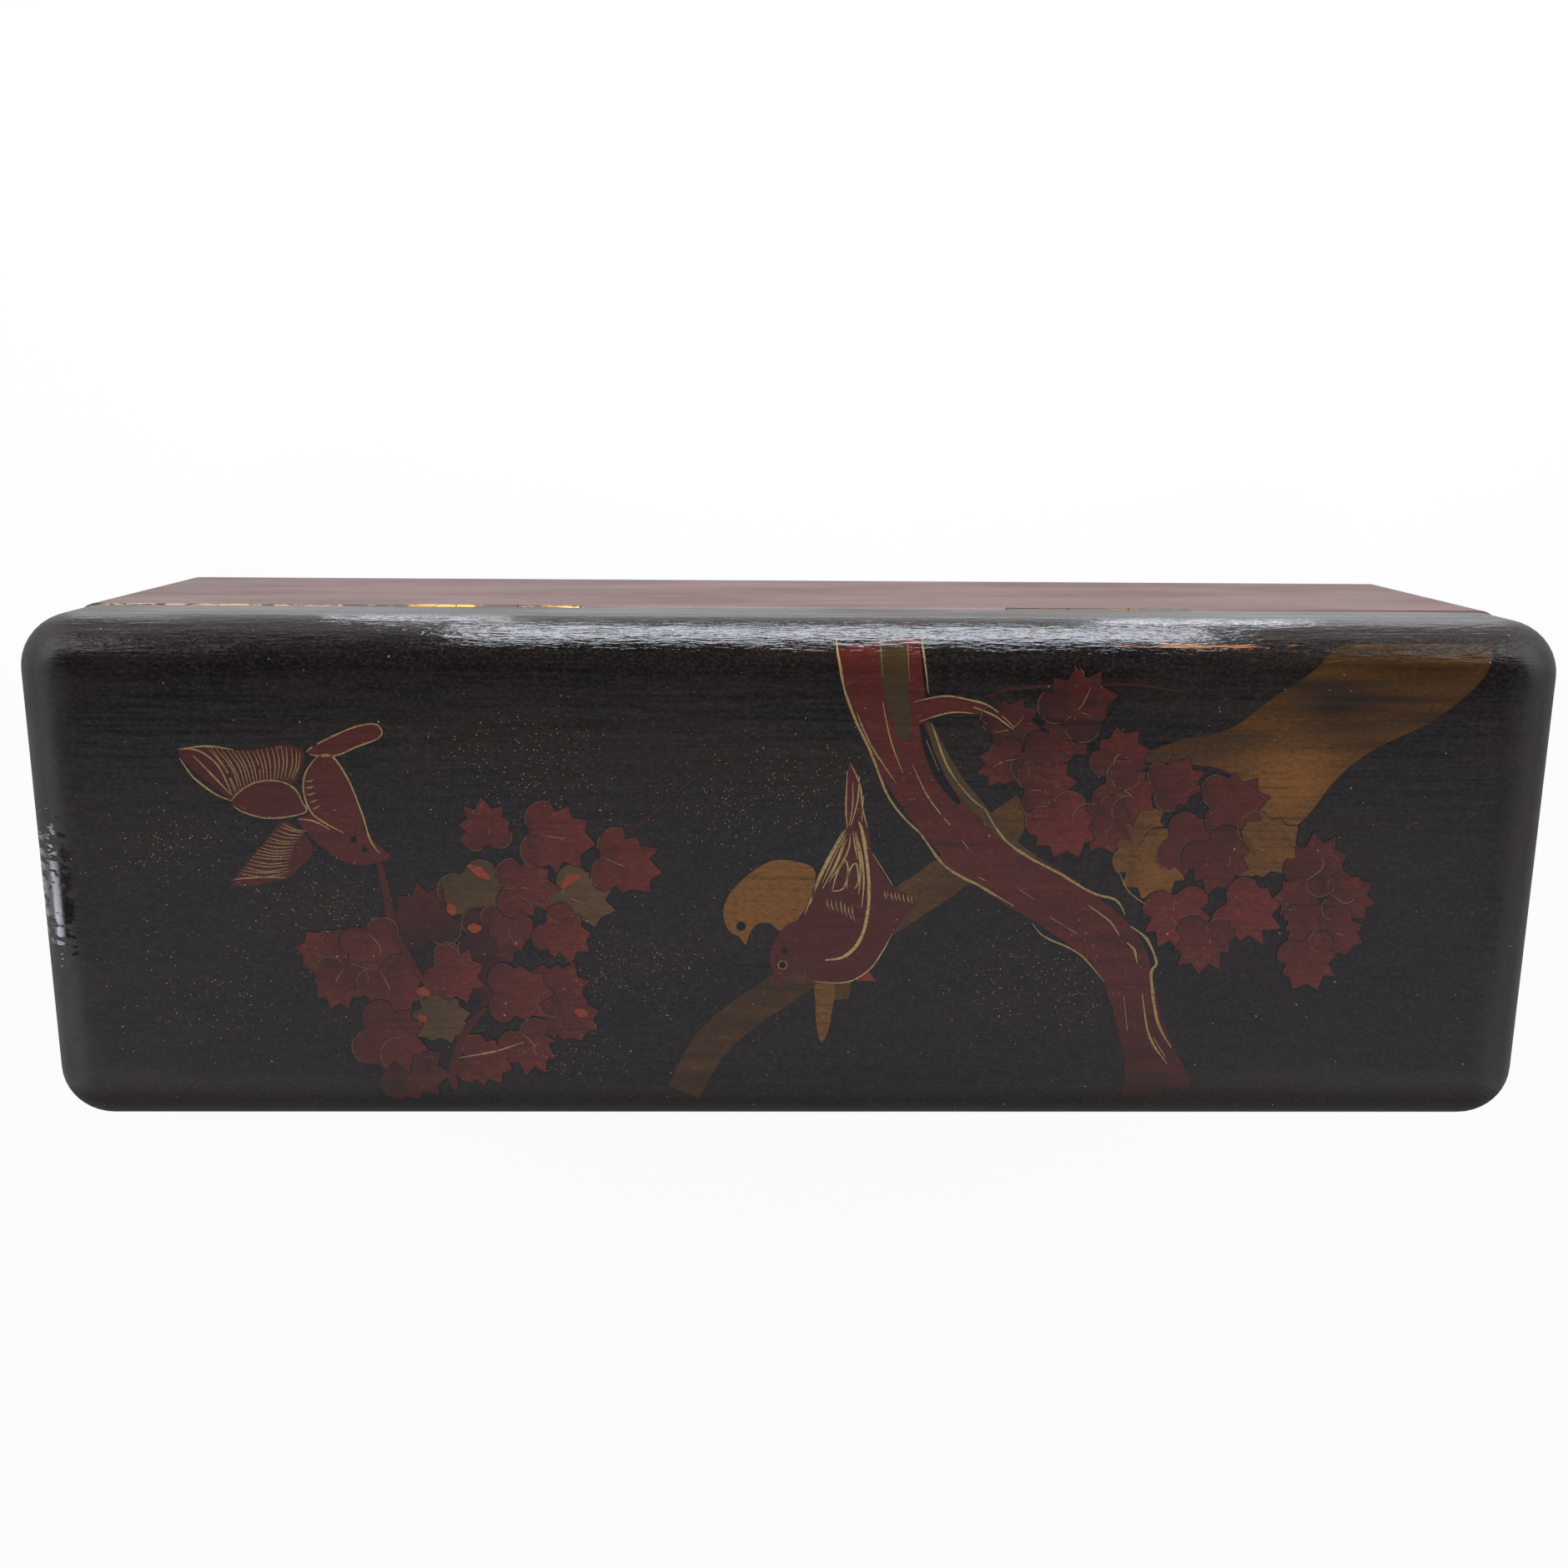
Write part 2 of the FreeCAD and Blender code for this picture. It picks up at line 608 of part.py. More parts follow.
# Assembly of the hinges
for side_name, side in (("left", -1), ("right", 1)):
    for leaf_name, on_lid in (("body_leaf", False), ("lid_leaf", True)):
        leaf_label = f"{side_name}_hinge_{leaf_name}"
        add_node(leaf_label, hinge_leaf(leaf_label, side, on_lid))
    pin_label = f"{side_name}_hinge_pin"
    add_node(pin_label, hinge_pin(pin_label, side))
add_node("body_hinge_nails", nail_row("body_hinge_nails", (-1, 1), False, "0"))
add_node("lid_hinge_nails", nail_row("lid_hinge_nails", (-1, 1), True, "0"))

# Nothing is written unless every object is sound.
doc.recompute()
failed = [item.Name for item in doc.Objects if {"Invalid", "Error"} & set(item.State)]
unsound = [label for label, item in nodes.items() if item.Shape.isNull() or not item.Shape.isValid()]
if failed or unsound:
    raise RuntimeError(f"failed objects {failed}, unsound shapes {unsound}")

os.makedirs("parts", exist_ok=True)
for label, item in nodes.items():
    item.Shape.exportStep(os.path.join("parts", f"{label}.step"))
    print(label, len(item.Shape.Solids), round(item.Shape.Volume, 1), item.Shape.BoundBox)
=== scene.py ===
"""Looks of the lacquered glove box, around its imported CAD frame.

The lid's lacquer skin and the ornament on it are made here. The boards, hinges, nails and pegs are
the CAD's own. Lengths are in millimetres and turned to metres where a mesh or a pattern is made, but
the floor and the lamps are in metres.
"""

import bmesh
import bpy
import math
import random
from mathutils import Matrix, Vector, geometry, noise


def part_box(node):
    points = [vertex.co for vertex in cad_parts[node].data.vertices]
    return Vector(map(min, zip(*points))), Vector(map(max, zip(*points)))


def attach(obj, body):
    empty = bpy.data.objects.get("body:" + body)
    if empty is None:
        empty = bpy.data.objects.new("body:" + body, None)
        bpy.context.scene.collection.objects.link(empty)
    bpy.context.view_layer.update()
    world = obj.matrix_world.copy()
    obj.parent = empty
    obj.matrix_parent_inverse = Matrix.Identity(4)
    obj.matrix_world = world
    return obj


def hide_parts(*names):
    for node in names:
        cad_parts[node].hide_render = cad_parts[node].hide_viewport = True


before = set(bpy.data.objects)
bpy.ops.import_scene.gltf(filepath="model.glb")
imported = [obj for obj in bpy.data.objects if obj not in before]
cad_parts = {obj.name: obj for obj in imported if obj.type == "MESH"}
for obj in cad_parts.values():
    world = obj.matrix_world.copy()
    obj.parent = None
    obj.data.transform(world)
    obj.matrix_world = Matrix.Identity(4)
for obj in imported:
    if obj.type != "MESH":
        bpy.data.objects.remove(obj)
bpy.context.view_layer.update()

MM = 0.001
panel_low, panel_high = (Vector(corner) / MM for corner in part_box("lid_panel"))

# The lid's form, as the CAD has it.
LID_HALF_LENGTH = panel_high.x
LID_HALF_DEPTH = panel_high.y
LID_TOP = panel_high.z
LID_UNDERSIDE = panel_low.z
EDGE_RADIUS = 9.5
CORNER_RADIUS = 10.5
SEAM_HEIGHT = 60.2

# The body's hollow, between the inner faces of its walls and above its bottom board.
HOLLOW_HALF_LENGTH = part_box("right_end_wall")[0][0] / MM
HOLLOW_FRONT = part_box("front_wall")[1][1] / MM
HOLLOW_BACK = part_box("back_wall")[0][1] / MM
HOLLOW_HALF_DEPTH = (HOLLOW_BACK - HOLLOW_FRONT) / 2
HOLLOW_MIDDLE = (HOLLOW_BACK + HOLLOW_FRONT) / 2
HOLLOW_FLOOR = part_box("bottom_board")[1][2] / MM

# The lacquer skin lies this far inside the CAD's surface, so that the ornament on it stays within the lid.
# Its rounded edge is uneven, most of all along the back, where the coat has wrinkled.
SKIN_INSET = 0.14
SKIN_FADE = 2.0
SKIN_GRID = 1.6
EDGE_BENDS = 38
SWELL_ON_EDGE = 0.04
SWELL_ON_BACK = 0.26
SWELL_LENGTH = 13.0
SWELL_WIDTH = 3.0
WRINKLE_LENGTH = 4.6
WRINKLE_WIDTH = 1.3
WRINKLE_SHARE = 0.6

# Ornament films: sunk foot, heights above the skin from the lowest coat up, and the step between leaves.
FILM_SINK = 0.02
BOUGH_LIFT = 0.030
BRANCH_LIFT = 0.045
BIRD_LIFT = 0.050
LEAF_LIFT = 0.052
LEAF_STEP = 0.001
BAND_LIFT = 0.085
LINE_LIFT = 0.11

# Spacing of a film's points, finer where it runs over the rounded edge, and along a stroke.
FILM_GRID = 2.0
EDGE_GRID = 0.5
STROKE_STEP = 1.0
FINE_STEP = 0.8
FINE_HALF_WIDTH = 1.0

# A brush stroke: length of the waves of its ragged edge, length of its gaps, and how thin it ends.
RAGGED_LENGTH = 2.3
GAP_LENGTH = 1.9
STROKE_TAPER = 0.35


# The lid's surface

def edge_distance(x, y):
    """How far a plan place lies inside the lid's outline, and the outward direction there."""
    past_x = abs(x) - (LID_HALF_LENGTH - CORNER_RADIUS)
    past_y = abs(y) - (LID_HALF_DEPTH - CORNER_RADIUS)
    if past_x > 0 and past_y > 0:
        reach = math.hypot(past_x, past_y)
        out_x = past_x / reach * math.copysign(1, x)
        out_y = past_y / reach * math.copysign(1, y)
        return CORNER_RADIUS - reach, out_x, out_y
    if past_x > past_y:
        return CORNER_RADIUS - past_x, math.copysign(1, x), 0.0
    return CORNER_RADIUS - past_y, 0.0, math.copysign(1, y)


def skin_point(x, y, lift):
    """Place over a plan point, `lift` above the lid's lacquer, in metres."""
    inside, out_x, out_y = edge_distance(x, y)
    lean = min(1.0, max(0.0, 1.0 - inside / EDGE_RADIUS))
    upright = math.sqrt(1.0 - lean * lean)
    z = LID_TOP - EDGE_RADIUS + EDGE_RADIUS * upright
    swell_size = (SWELL_ON_EDGE + (SWELL_ON_BACK - SWELL_ON_EDGE) * max(0.0, out_y)) * min(1.0, 2.0 * lean)
    swell = noise.noise(Vector((x / SWELL_LENGTH, y / SWELL_WIDTH, z / SWELL_WIDTH)))
    wrinkle = noise.noise(Vector((x / WRINKLE_LENGTH, y / WRINKLE_WIDTH, z / WRINKLE_WIDTH)))
    hollow = 0.5 + 0.5 * (swell + WRINKLE_SHARE * wrinkle) / (1.0 + WRINKLE_SHARE)
    fade = min(1.0, max(0.0, inside / SKIN_FADE))
    rise = lift - fade * (SKIN_INSET + swell_size * hollow)
    return Vector((x + out_x * lean * rise, y + out_y * lean * rise, z + upright * rise)) * MM


# Plan curves

def curve_through(points, step):
    """Smooth run through points, about `step` apart; a third number, such as a half width, runs along."""
    padded = [points[0], *points, points[-1]]
    run = []
    for before, start, end, after in zip(padded, padded[1:], padded[2:], padded[3:]):
        pieces = max(1, round(math.dist(start[:2], end[:2]) / step))
        for piece in range(pieces):
            t = piece / pieces
            weights = (
                -0.5 * t + t * t - 0.5 * t ** 3,
                1 - 2.5 * t * t + 1.5 * t ** 3,
                0.5 * t + 2 * t * t - 1.5 * t ** 3,
                -0.5 * t * t + 0.5 * t ** 3,
            )
            knots = (before, start, end, after)
            run.append(tuple(sum(w * k[i] for w, k in zip(weights, knots)) for i in range(len(start))))
    run.append(tuple(points[-1]))
    return run


def loop_through(points):
    """Smooth closed outline through points."""
    ends = len(curve_through(points[-2:] + points[:1], STROKE_STEP)) - 1
    run = curve_through(points[-2:] + points + points[:2], STROKE_STEP)
    tail = len(curve_through(points[:2], STROKE_STEP)) - 1
    return run[ends:-tail - 1]


def along_curve(run, share):
    """Point at a share of a run of points."""
    place = share * (len(run) - 1)
    i = min(int(place), len(run) - 2)
    return tuple(a + (b - a) * (place - i) for a, b in zip(run[i], run[i + 1]))


def is_within(outline, x, y):
    """True for a place inside an outline."""
    inside = False
    for (ax, ay), (bx, by) in zip(outline, outline[1:] + outline[:1]):
        if (ay > y) != (by > y) and x < (bx - ax) * (y - ay) / (by - ay) + ax:
            inside = not inside
    return inside


# Ornament films: thin closed coats of colour that follow the lid's surface

def new_film():
    """An empty coat, with a tone kept on its points."""
    film = bmesh.new()
    film.verts.layers.float.new("tone")
    return film


def lay(film, plan, faces, lift, tone):
    """Adds one closed patch, its top at `lift` and its foot sunk in the lacquer; a tone may vary over it."""
    key = film.verts.layers.float["tone"]
    top = [film.verts.new(skin_point(x, y, lift)) for x, y in plan]
    low = [film.verts.new(skin_point(x, y, -FILM_SINK)) for x, y in plan]
    for above, below, (x, y) in zip(top, low, plan):
        above[key] = below[key] = tone(x, y) if callable(tone) else tone
    sides = set()
    for face in faces:
        film.faces.new([top[i] for i in face]).smooth = True
        film.faces.new([low[i] for i in reversed(face)])
        sides.update(zip(face, face[1:] + face[:1]))
    for start, end in sorted(sides):
        if (end, start) not in sides:
            film.faces.new((top[start], low[start], low[end], top[end]))
            film.edges.get((top[start], top[end])).smooth = False


def lay_outline(film, outline, lift, tone):
    """Fills a closed plan outline."""
    xs, ys = zip(*outline)
    plan = [Vector(point) for point in outline]
    over_edge = any(edge_distance(x, y)[0] < EDGE_RADIUS for x, y in outline)
    grid = EDGE_GRID if over_edge else FILM_GRID
    for column in range(math.ceil(min(xs) / grid), math.floor(max(xs) / grid) + 1):
        for row in range(math.ceil(min(ys) / grid), math.floor(max(ys) / grid) + 1):
            x, y = column * grid, row * grid
            if is_within(outline, x, y):
                plan.append(Vector((x, y)))
    loop = [(i, (i + 1) % len(outline)) for i in range(len(outline))]
    places, _, faces, *_ = geometry.delaunay_2d_cdt(plan, loop, [], 1, 1e-5)
    lay(film, [tuple(place) for place in places], [tuple(face) for face in faces], lift, tone)


def lay_stroke(film, points, lift, tone, ragged=0.0, gaps=-2.0):
    """Lays a brush stroke through (x, y, half width) points; a higher `gaps` breaks it off more often."""
    widest = max(half for *_, half in points)
    over_edge = any(edge_distance(x, y)[0] < EDGE_RADIUS for x, y, _ in points)
    step = FINE_STEP if widest < FINE_HALF_WIDTH else EDGE_GRID if over_edge else STROKE_STEP
    run = curve_through(points, step)
    columns = max(1, math.ceil(2 * widest / (EDGE_GRID if over_edge else FILM_GRID)))
    plan = []
    for i, (x, y, half) in enumerate(run):
        ahead, behind = run[min(i + 1, len(run) - 1)], run[max(i - 1, 0)]
        along = Vector((ahead[0] - behind[0], ahead[1] - behind[1])).normalized()
        for column in range(columns + 1):
            across = 2 * column / columns - 1
            wave = noise.noise(Vector((x / RAGGED_LENGTH, y / RAGGED_LENGTH, 3 * across)))
            edge = half * across * (1 + ragged * wave)
            plan.append((x - along.y * edge, y + along.x * edge))
    faces = []
    for i, (x, y, _) in enumerate(run[:-1]):
        if noise.noise(Vector((x / GAP_LENGTH, y / GAP_LENGTH, 7.3))) < gaps:
            continue
        for column in range(columns):
            corner = i * (columns + 1) + column
            faces.append((corner, corner + columns + 1, corner + columns + 2, corner + 1))
    used = sorted({i for face in faces for i in face})
    number = {old: new for new, old in enumerate(used)}
    lay(film, [plan[i] for i in used], [tuple(number[i] for i in face) for face in faces], lift, tone)


def tapered(points, half):
    """Brush stroke points of one half width, drawn out thin at both ends."""
    last = len(points) - 1
    return [(x, y, half * (STROKE_TAPER if i in (0, last) else 1.0)) for i, (x, y) in enumerate(points)]


def finish_piece(name, builder, material):
    """Turns a mesh in hand into a named piece that rides on the lid."""
    mesh = bpy.data.meshes.new(name)
    builder.normal_update()
    builder.to_mesh(mesh)
    builder.free()
    piece = bpy.data.objects.new(name, mesh)
    bpy.context.scene.collection.objects.link(piece)
    piece.data.materials.append(material)
    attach(piece, "lid")
    return piece


# Material nodes

def linear(code):
    """Linear colour of an sRGB hex code."""
    parts = [int(code[i:i + 2], 16) / 255 for i in (1, 3, 5)]
    return (*[p / 12.92 if p <= 0.04045 else ((p + 0.055) / 1.055) ** 2.4 for p in parts], 1.0)


def per_metre(*sizes):
    """Pattern repeats in a metre, for a pattern's sizes in millimetres."""
    return tuple(1 / (size * MM) for size in sizes)


def add(tree, kind, inputs=None, **settings):
    """Adds a node with its settings; an input is a value, a socket, or a node for its output in use."""
    node = tree.nodes.new("ShaderNode" + kind)
    for name, setting in settings.items():
        setattr(node, name, setting)
    for name, source in (inputs or {}).items():
        if isinstance(source, bpy.types.Node):
            source = next(output for output in source.outputs if output.enabled)
        if isinstance(source, bpy.types.NodeSocket):
            tree.links.new(source, node.inputs[name])
        else:
            node.inputs[name].default_value = source
    return node


def new_material(name):
    """A material with an empty node tree."""
    material = bpy.data.materials.new(name)
    material.use_nodes = True
    material.node_tree.nodes.clear()
    return material, material.node_tree


def drawn_noise(tree, place, sizes, detail, rough=0.5):
    """Noise in patches drawn out to sizes along x, y and z (mm)."""
    drawn = add(tree, "Mapping", {"Vector": place, "Scale": per_metre(*sizes)})
    return add(tree, "TexNoise", {"Vector": drawn, "Scale": 1.0, "Detail": detail, "Roughness": rough})


# A coat of lacquer, brushed and rubbed along the board: the eye gets long fine streaks in the gloss, a
# slow swell where the coat flowed, pin-prick dust, and patches rubbed duller by cloths and hands.
# The first three are length and width.
STREAK = (26, 0.7)
SWELL = (34, 3.0)
RUB = (45, 16)
DUST_SPACING = 2.4


def brushed_coat(tree, along, gloss, wear):
    """The surface that all the lacquers share; returns its patterns, bump and roughness."""
    place = add(tree, "TexCoord").outputs["Object"]
    patterns = {}
    for name, (length, width), detail in (("streak", STREAK, 5.0), ("swell", SWELL, 2.0), ("rub", RUB, 4.0)):
        sizes = (length, width, width) if along == "X" else (width, length, width)
        patterns[name] = drawn_noise(tree, place, sizes, detail, 0.6)
    # One speck to a cell, of which only the largest few show.
    cells = add(tree, "TexVoronoi", {"Vector": place, "Scale": per_metre(DUST_SPACING)[0]})
    speck_size = add(tree, "MapRange", {0: cells.outputs["Color"], 1: 0.45, 2: 1.0, 3: 0.0, 4: 0.085})
    speck = add(tree, "Math", {0: cells.outputs["Distance"], 1: speck_size}, operation="LESS_THAN")
    rubbed = add(tree, "MapRange", {0: patterns["rub"], 1: 0.42, 2: 0.68})
    slow = add(tree, "Bump", {"Height": patterns["swell"], "Distance": 0.05 * MM})
    fine = add(tree, "Bump", {"Height": patterns["streak"], "Distance": 0.010 * MM, "Normal": slow})
    bump = add(tree, "Bump", {"Height": speck, "Strength": 0.6, "Distance": 0.03 * MM, "Normal": fine})
    dull = add(tree, "MapRange", {0: patterns["streak"], 1: 0.35, 2: 0.75, 3: gloss, 4: gloss + wear})
    rough = add(tree, "Math", {0: rubbed, 1: wear, 2: dull}, operation="MULTIPLY_ADD")
    return {"place": place, "streak": patterns["streak"], "speck": speck, "rubbed": rubbed, "bump": bump,
            "rough": rough}


def scratched(tree, place, spacing, length, width, share):
    """Mask of short straight scratches, lying every way, one at most in each cell of a spacing (mm)."""
    cells = add(tree, "TexVoronoi", {
        "Vector": place, "Scale": per_metre(spacing)[0]}, voronoi_dimensions="2D")
    chance = add(tree, "SeparateColor", {0: cells.outputs["Color"]})
    middle = add(tree, "VectorMath", {0: cells.outputs["Position"], 1: (spacing * MM, spacing * MM, 0)},
                 operation="MULTIPLY")
    offset = add(tree, "VectorMath", {0: place, 1: middle}, operation="SUBTRACT")
    turn = add(tree, "Math", {0: chance.outputs["Red"], 1: math.pi}, operation="MULTIPLY")
    turned = add(tree, "VectorRotate", {"Vector": offset, "Angle": turn}, rotation_type="Z_AXIS")
    half_sizes = (*per_metre(length / 2, width / 2), 0)
    shares = add(tree, "VectorMath", {0: turned, 1: half_sizes}, operation="MULTIPLY")
    shares = add(tree, "VectorMath", {0: shares}, operation="ABSOLUTE")
    parts = add(tree, "SeparateXYZ", {0: shares})
    reach = add(tree, "Math", {0: parts.outputs["X"], 1: parts.outputs["Y"]}, operation="MAXIMUM")
    line = add(tree, "Math", {0: reach, 1: 1.0}, operation="LESS_THAN")
    chosen = add(tree, "Math", {0: chance.outputs["Green"], 1: share}, operation="LESS_THAN")
    return add(tree, "Math", {0: line, 1: chosen}, operation="MULTIPLY")


def flaked(tree, place, centre, half, grain):
    """Share of bare ground in an oval patch that breaks up towards its edge in flakes of a grain (mm)."""
    fade = 0.28
    shift = [-c / h for c, h in zip(centre, half)]
    oval = add(tree, "Mapping", {"Vector": place, "Location": shift, "Scale": per_metre(*half)})
    reach = add(tree, "VectorMath", {0: oval}, operation="LENGTH")
    flakes = drawn_noise(tree, place, grain, 4.0)
    left = add(tree, "Math", {0: reach, 1: -fade, 2: flakes}, operation="MULTIPLY_ADD")
    return add(tree, "MapRange", {0: left, 1: 0.28, 2: 0.34})


def lacquer(tree, coat, colour, ior):
    """Lacquer's shader over a coat, with pale dust on its colour."""
    dusty = add(tree, "Mix", {0: coat["speck"], 6: colour, 7: linear("#9A948A")}, data_type="RGBA")
    shader = add(tree, "BsdfPrincipled", {
        "Base Color": dusty, "Roughness": coat["rough"], "Normal": coat["bump"], "IOR": ior})
    add(tree, "OutputMaterial", {"Surface": shader})


# Finishes

# Hands dull the lid from the first to the second distance in from its rim, and above its underside.
HANDLED = (13, 5)
HANDLED_SKIRT = (1.6, 0.6)
END_DULLING = 0.5
FRONT_DULLING = 0.85
SKIRT_DULLING = 0.4

# The back edge starts and is full at these places; its creases are length, width and depth.
BACK_EDGE = (39, 45)
BACK_GLOSS = 0.12
CREASES = ((7.0, 0.9, 0.24), (2.2, 0.4, 0.07))

# Dirt and painted shade along the seam, from right to left: its ends, its reach at each, and its solid core.
DIRT_AND_SHADE_ENDS = (60, -90)
DIRT_AND_SHADE_REACH = (0.5, 2.6)
DIRT_AND_SHADE_CORE = 0.2


def between(limits, edge=0.0, way=1):
    """First two range inputs, in metres, for limits measured from an edge along a way of 1 or -1 (mm)."""
    return {number: (edge + way * limit) * MM for number, limit in enumerate(limits, 1)}


def handled_edges(tree, coat):
    """Dulls a lid lacquer where hands held it, but for a spot on the left, and creases its glossy back."""
    where = add(tree, "SeparateXYZ", {0: coat["place"]}).outputs
    end = add(tree, "Math", {0: where["X"]}, operation="ABSOLUTE")
    end = add(tree, "MapRange", {0: end, **between(HANDLED, LID_HALF_LENGTH, -1), 4: END_DULLING})
    front = add(tree, "MapRange", {0: where["Y"], **between(HANDLED, -LID_HALF_DEPTH), 4: FRONT_DULLING})
    skirt = add(tree, "MapRange", {0: where["Z"], **between(HANDLED_SKIRT, LID_UNDERSIDE), 4: SKIRT_DULLING})
    handled = add(tree, "Math", {0: end, 1: front}, operation="MAXIMUM")
    spared = flaked(tree, coat["place"], centre=(-138, -2, 80), half=(8, 12, 8), grain=(3, 1.1, 3))
    handled = add(tree, "Math", {0: handled, 1: spared}, operation="SUBTRACT", use_clamp=True)
    handled = add(tree, "Math", {0: handled, 1: skirt}, operation="MAXIMUM")
    back = add(tree, "MapRange", {0: where["Y"], **between(BACK_EDGE)})
    for length, width, depth in CREASES:
        wave = drawn_noise(tree, coat["place"], (length, width, width), 3.0)
        wave = add(tree, "Math", {0: wave, 1: 0.5}, operation="SUBTRACT")
        crease = add(tree, "Math", {0: wave}, operation="ABSOLUTE")
        coat["bump"] = add(tree, "Bump", {
            "Height": crease, "Strength": back, "Distance": depth * MM, "Normal": coat["bump"]})
    sheen = add(tree, "Math", {0: back, 1: -BACK_GLOSS, 2: handled}, operation="MULTIPLY_ADD")
    coat["rough"] = add(tree, "Math", {0: coat["rough"], 1: sheen}, operation="ADD")


def seam_dirt_and_shade(tree, coat, colour):
    """Dark matte dirt and painted shade along the seam of body and lid, wider towards the left; returns the
    colour.
    """
    where = add(tree, "SeparateXYZ", {0: coat["place"]}).outputs
    away = add(tree, "Math", {0: where["Z"], 1: SEAM_HEIGHT * MM}, operation="SUBTRACT")
    away = add(tree, "Math", {0: away}, operation="ABSOLUTE")
    narrow, wide = DIRT_AND_SHADE_REACH
    reach = add(tree, "MapRange", {0: where["X"], **between(DIRT_AND_SHADE_ENDS), 3: narrow * MM, 4: wide * MM})
    dirt_and_shade = add(tree, "MapRange", {0: away, 1: reach, 2: DIRT_AND_SHADE_CORE * MM})
    coat["rough"] = add(tree, "Math", {0: coat["rough"], 1: dirt_and_shade}, operation="MAXIMUM")
    return add(tree, "Mix", {0: dirt_and_shade, 6: colour, 7: linear("#0A0706")}, data_type="RGBA")


def black_lid_lacquer():
    """Brown-black lacquer over wood, brushed and polished: a deep gloss, scratched, grey with scuffs, and a
    painted warm reflection.
    """
    material, tree = new_material("brown_black_lacquer_polished")
    coat = brushed_coat(tree, "X", gloss=0.15, wear=0.08)
    handled_edges(tree, coat)
    brown = add(tree, "MapRange", {0: coat["streak"], 1: 0.40, 2: 0.72})
    colour = add(tree, "Mix", {0: brown, 6: linear("#0A0808"), 7: linear("#1A1110")}, data_type="RGBA")
    scuffs = drawn_noise(tree, coat["place"], (0.8, 0.5, 0.5), 5.0, 0.75)
    bloom = add(tree, "MapRange", {0: scuffs, 1: 0.46, 2: 0.74, 4: 0.40})
    # Painted reflection: an orange-brown streak just below the back edge's glint stands in for a warm light
    # reflected there.
    streak = flaked(tree, coat["place"], centre=(76, 45.7, 80.8), half=(17, 0.7, 0.5), grain=(4, 0.3, 0.3))
    pale = scratched(tree, coat["place"], spacing=8.0, length=3.0, width=0.13, share=0.4)
    layers = ((coat["rubbed"], "#1C130E"), (bloom, "#46403E"), (streak, "#8C5A34"), (pale, "#86807A"))
    for mask, code in layers:
        colour = add(tree, "Mix", {0: mask, 6: colour, 7: linear(code)}, data_type="RGBA")
    lacquer(tree, coat, colour, ior=1.45)
    return material


def black_rail_lacquer():
    """The same lacquer on the lid's rails, brushed but unpolished: a soft grey sheen, dirt and painted shade
    in the seam.
    """
    material, tree = new_material("brown_black_lacquer_brushed")
    coat = brushed_coat(tree, "X", gloss=0.28, wear=0.14)
    brown = add(tree, "MapRange", {0: coat["streak"], 1: 0.40, 2: 0.72})
    colour = add(tree, "Mix", {0: brown, 6: linear("#100C0B"), 7: linear("#1C1412")}, data_type="RGBA")
    # Dirt and painted shade darken the rail along the seam.
    lacquer(tree, coat, seam_dirt_and_shade(tree, coat, colour), ior=1.5)
    return material


def inside_of_box(tree, place):
    """Mask of the faces that line the body's hollow, reaching a little into them."""
    depth = 0.1
    half_length, half_depth = HOLLOW_HALF_LENGTH + depth, HOLLOW_HALF_DEPTH + depth
    shares = add(tree, "Mapping", {
        "Vector": place, "Location": (0, -HOLLOW_MIDDLE / half_depth, 0),
        "Scale": per_metre(half_length, half_depth, 1)})
    shares = add(tree, "VectorMath", {0: shares}, operation="ABSOLUTE")
    parts = add(tree, "SeparateXYZ", {0: shares})
    reach = add(tree, "Math", {0: parts.outputs["X"], 1: parts.outputs["Y"]}, operation="MAXIMUM")
    within = add(tree, "Math", {0: reach, 1: 1.0}, operation="LESS_THAN")
    above = add(tree, "Math", {0: parts.outputs["Z"], 1: HOLLOW_FLOOR - depth}, operation="GREATER_THAN")
    return add(tree, "Math", {0: within, 1: above}, operation="MULTIPLY")


def red_brown_body_lacquer(along):
    """Thin red-brown lacquer over wood, brushed and dulled by age: a streaky soft sheen; dark inside."""
    material, tree = new_material(f"red_brown_lacquer_brushed_{along.lower()}")
    coat = brushed_coat(tree, along, gloss=0.34, wear=0.10)
    brown = add(tree, "MapRange", {0: coat["streak"], 1: 0.35, 2: 0.7})
    colour = add(tree, "Mix", {0: brown, 6: linear("#40130D"), 7: linear("#4E1B13")}, data_type="RGBA")
    rubbed = add(tree, "Math", {0: coat["rubbed"], 1: 0.45}, operation="MULTIPLY")
    pale = scratched(tree, coat["place"], spacing=9.0, length=2.4, width=0.16, share=0.35)
    for mask, code in ((rubbed, "#311512"), (pale, "#8A7A70")):
        colour = add(tree, "Mix", {0: mask, 6: colour, 7: linear(code)}, data_type="RGBA")
    # Dirt and painted shade darken the wall along the seam.
    colour = seam_dirt_and_shade(tree, coat, colour)
    chips = flaked(tree, coat["place"], centre=(-112, 50, 59.4), half=(30, 3, 0.9), grain=(2.4, 0.8, 0.4))
    colour = add(tree, "Mix", {0: chips, 6: colour, 7: linear("#A8845C")}, data_type="RGBA")
    dark = add(tree, "Mix", {0: brown, 6: linear("#120A08"), 7: linear("#1E120E")}, data_type="RGBA")
    inside = inside_of_box(tree, coat["place"])
    colour = add(tree, "Mix", {0: inside, 6: colour, 7: dark}, data_type="RGBA")
    lacquer(tree, coat, colour, ior=1.5)
    return material


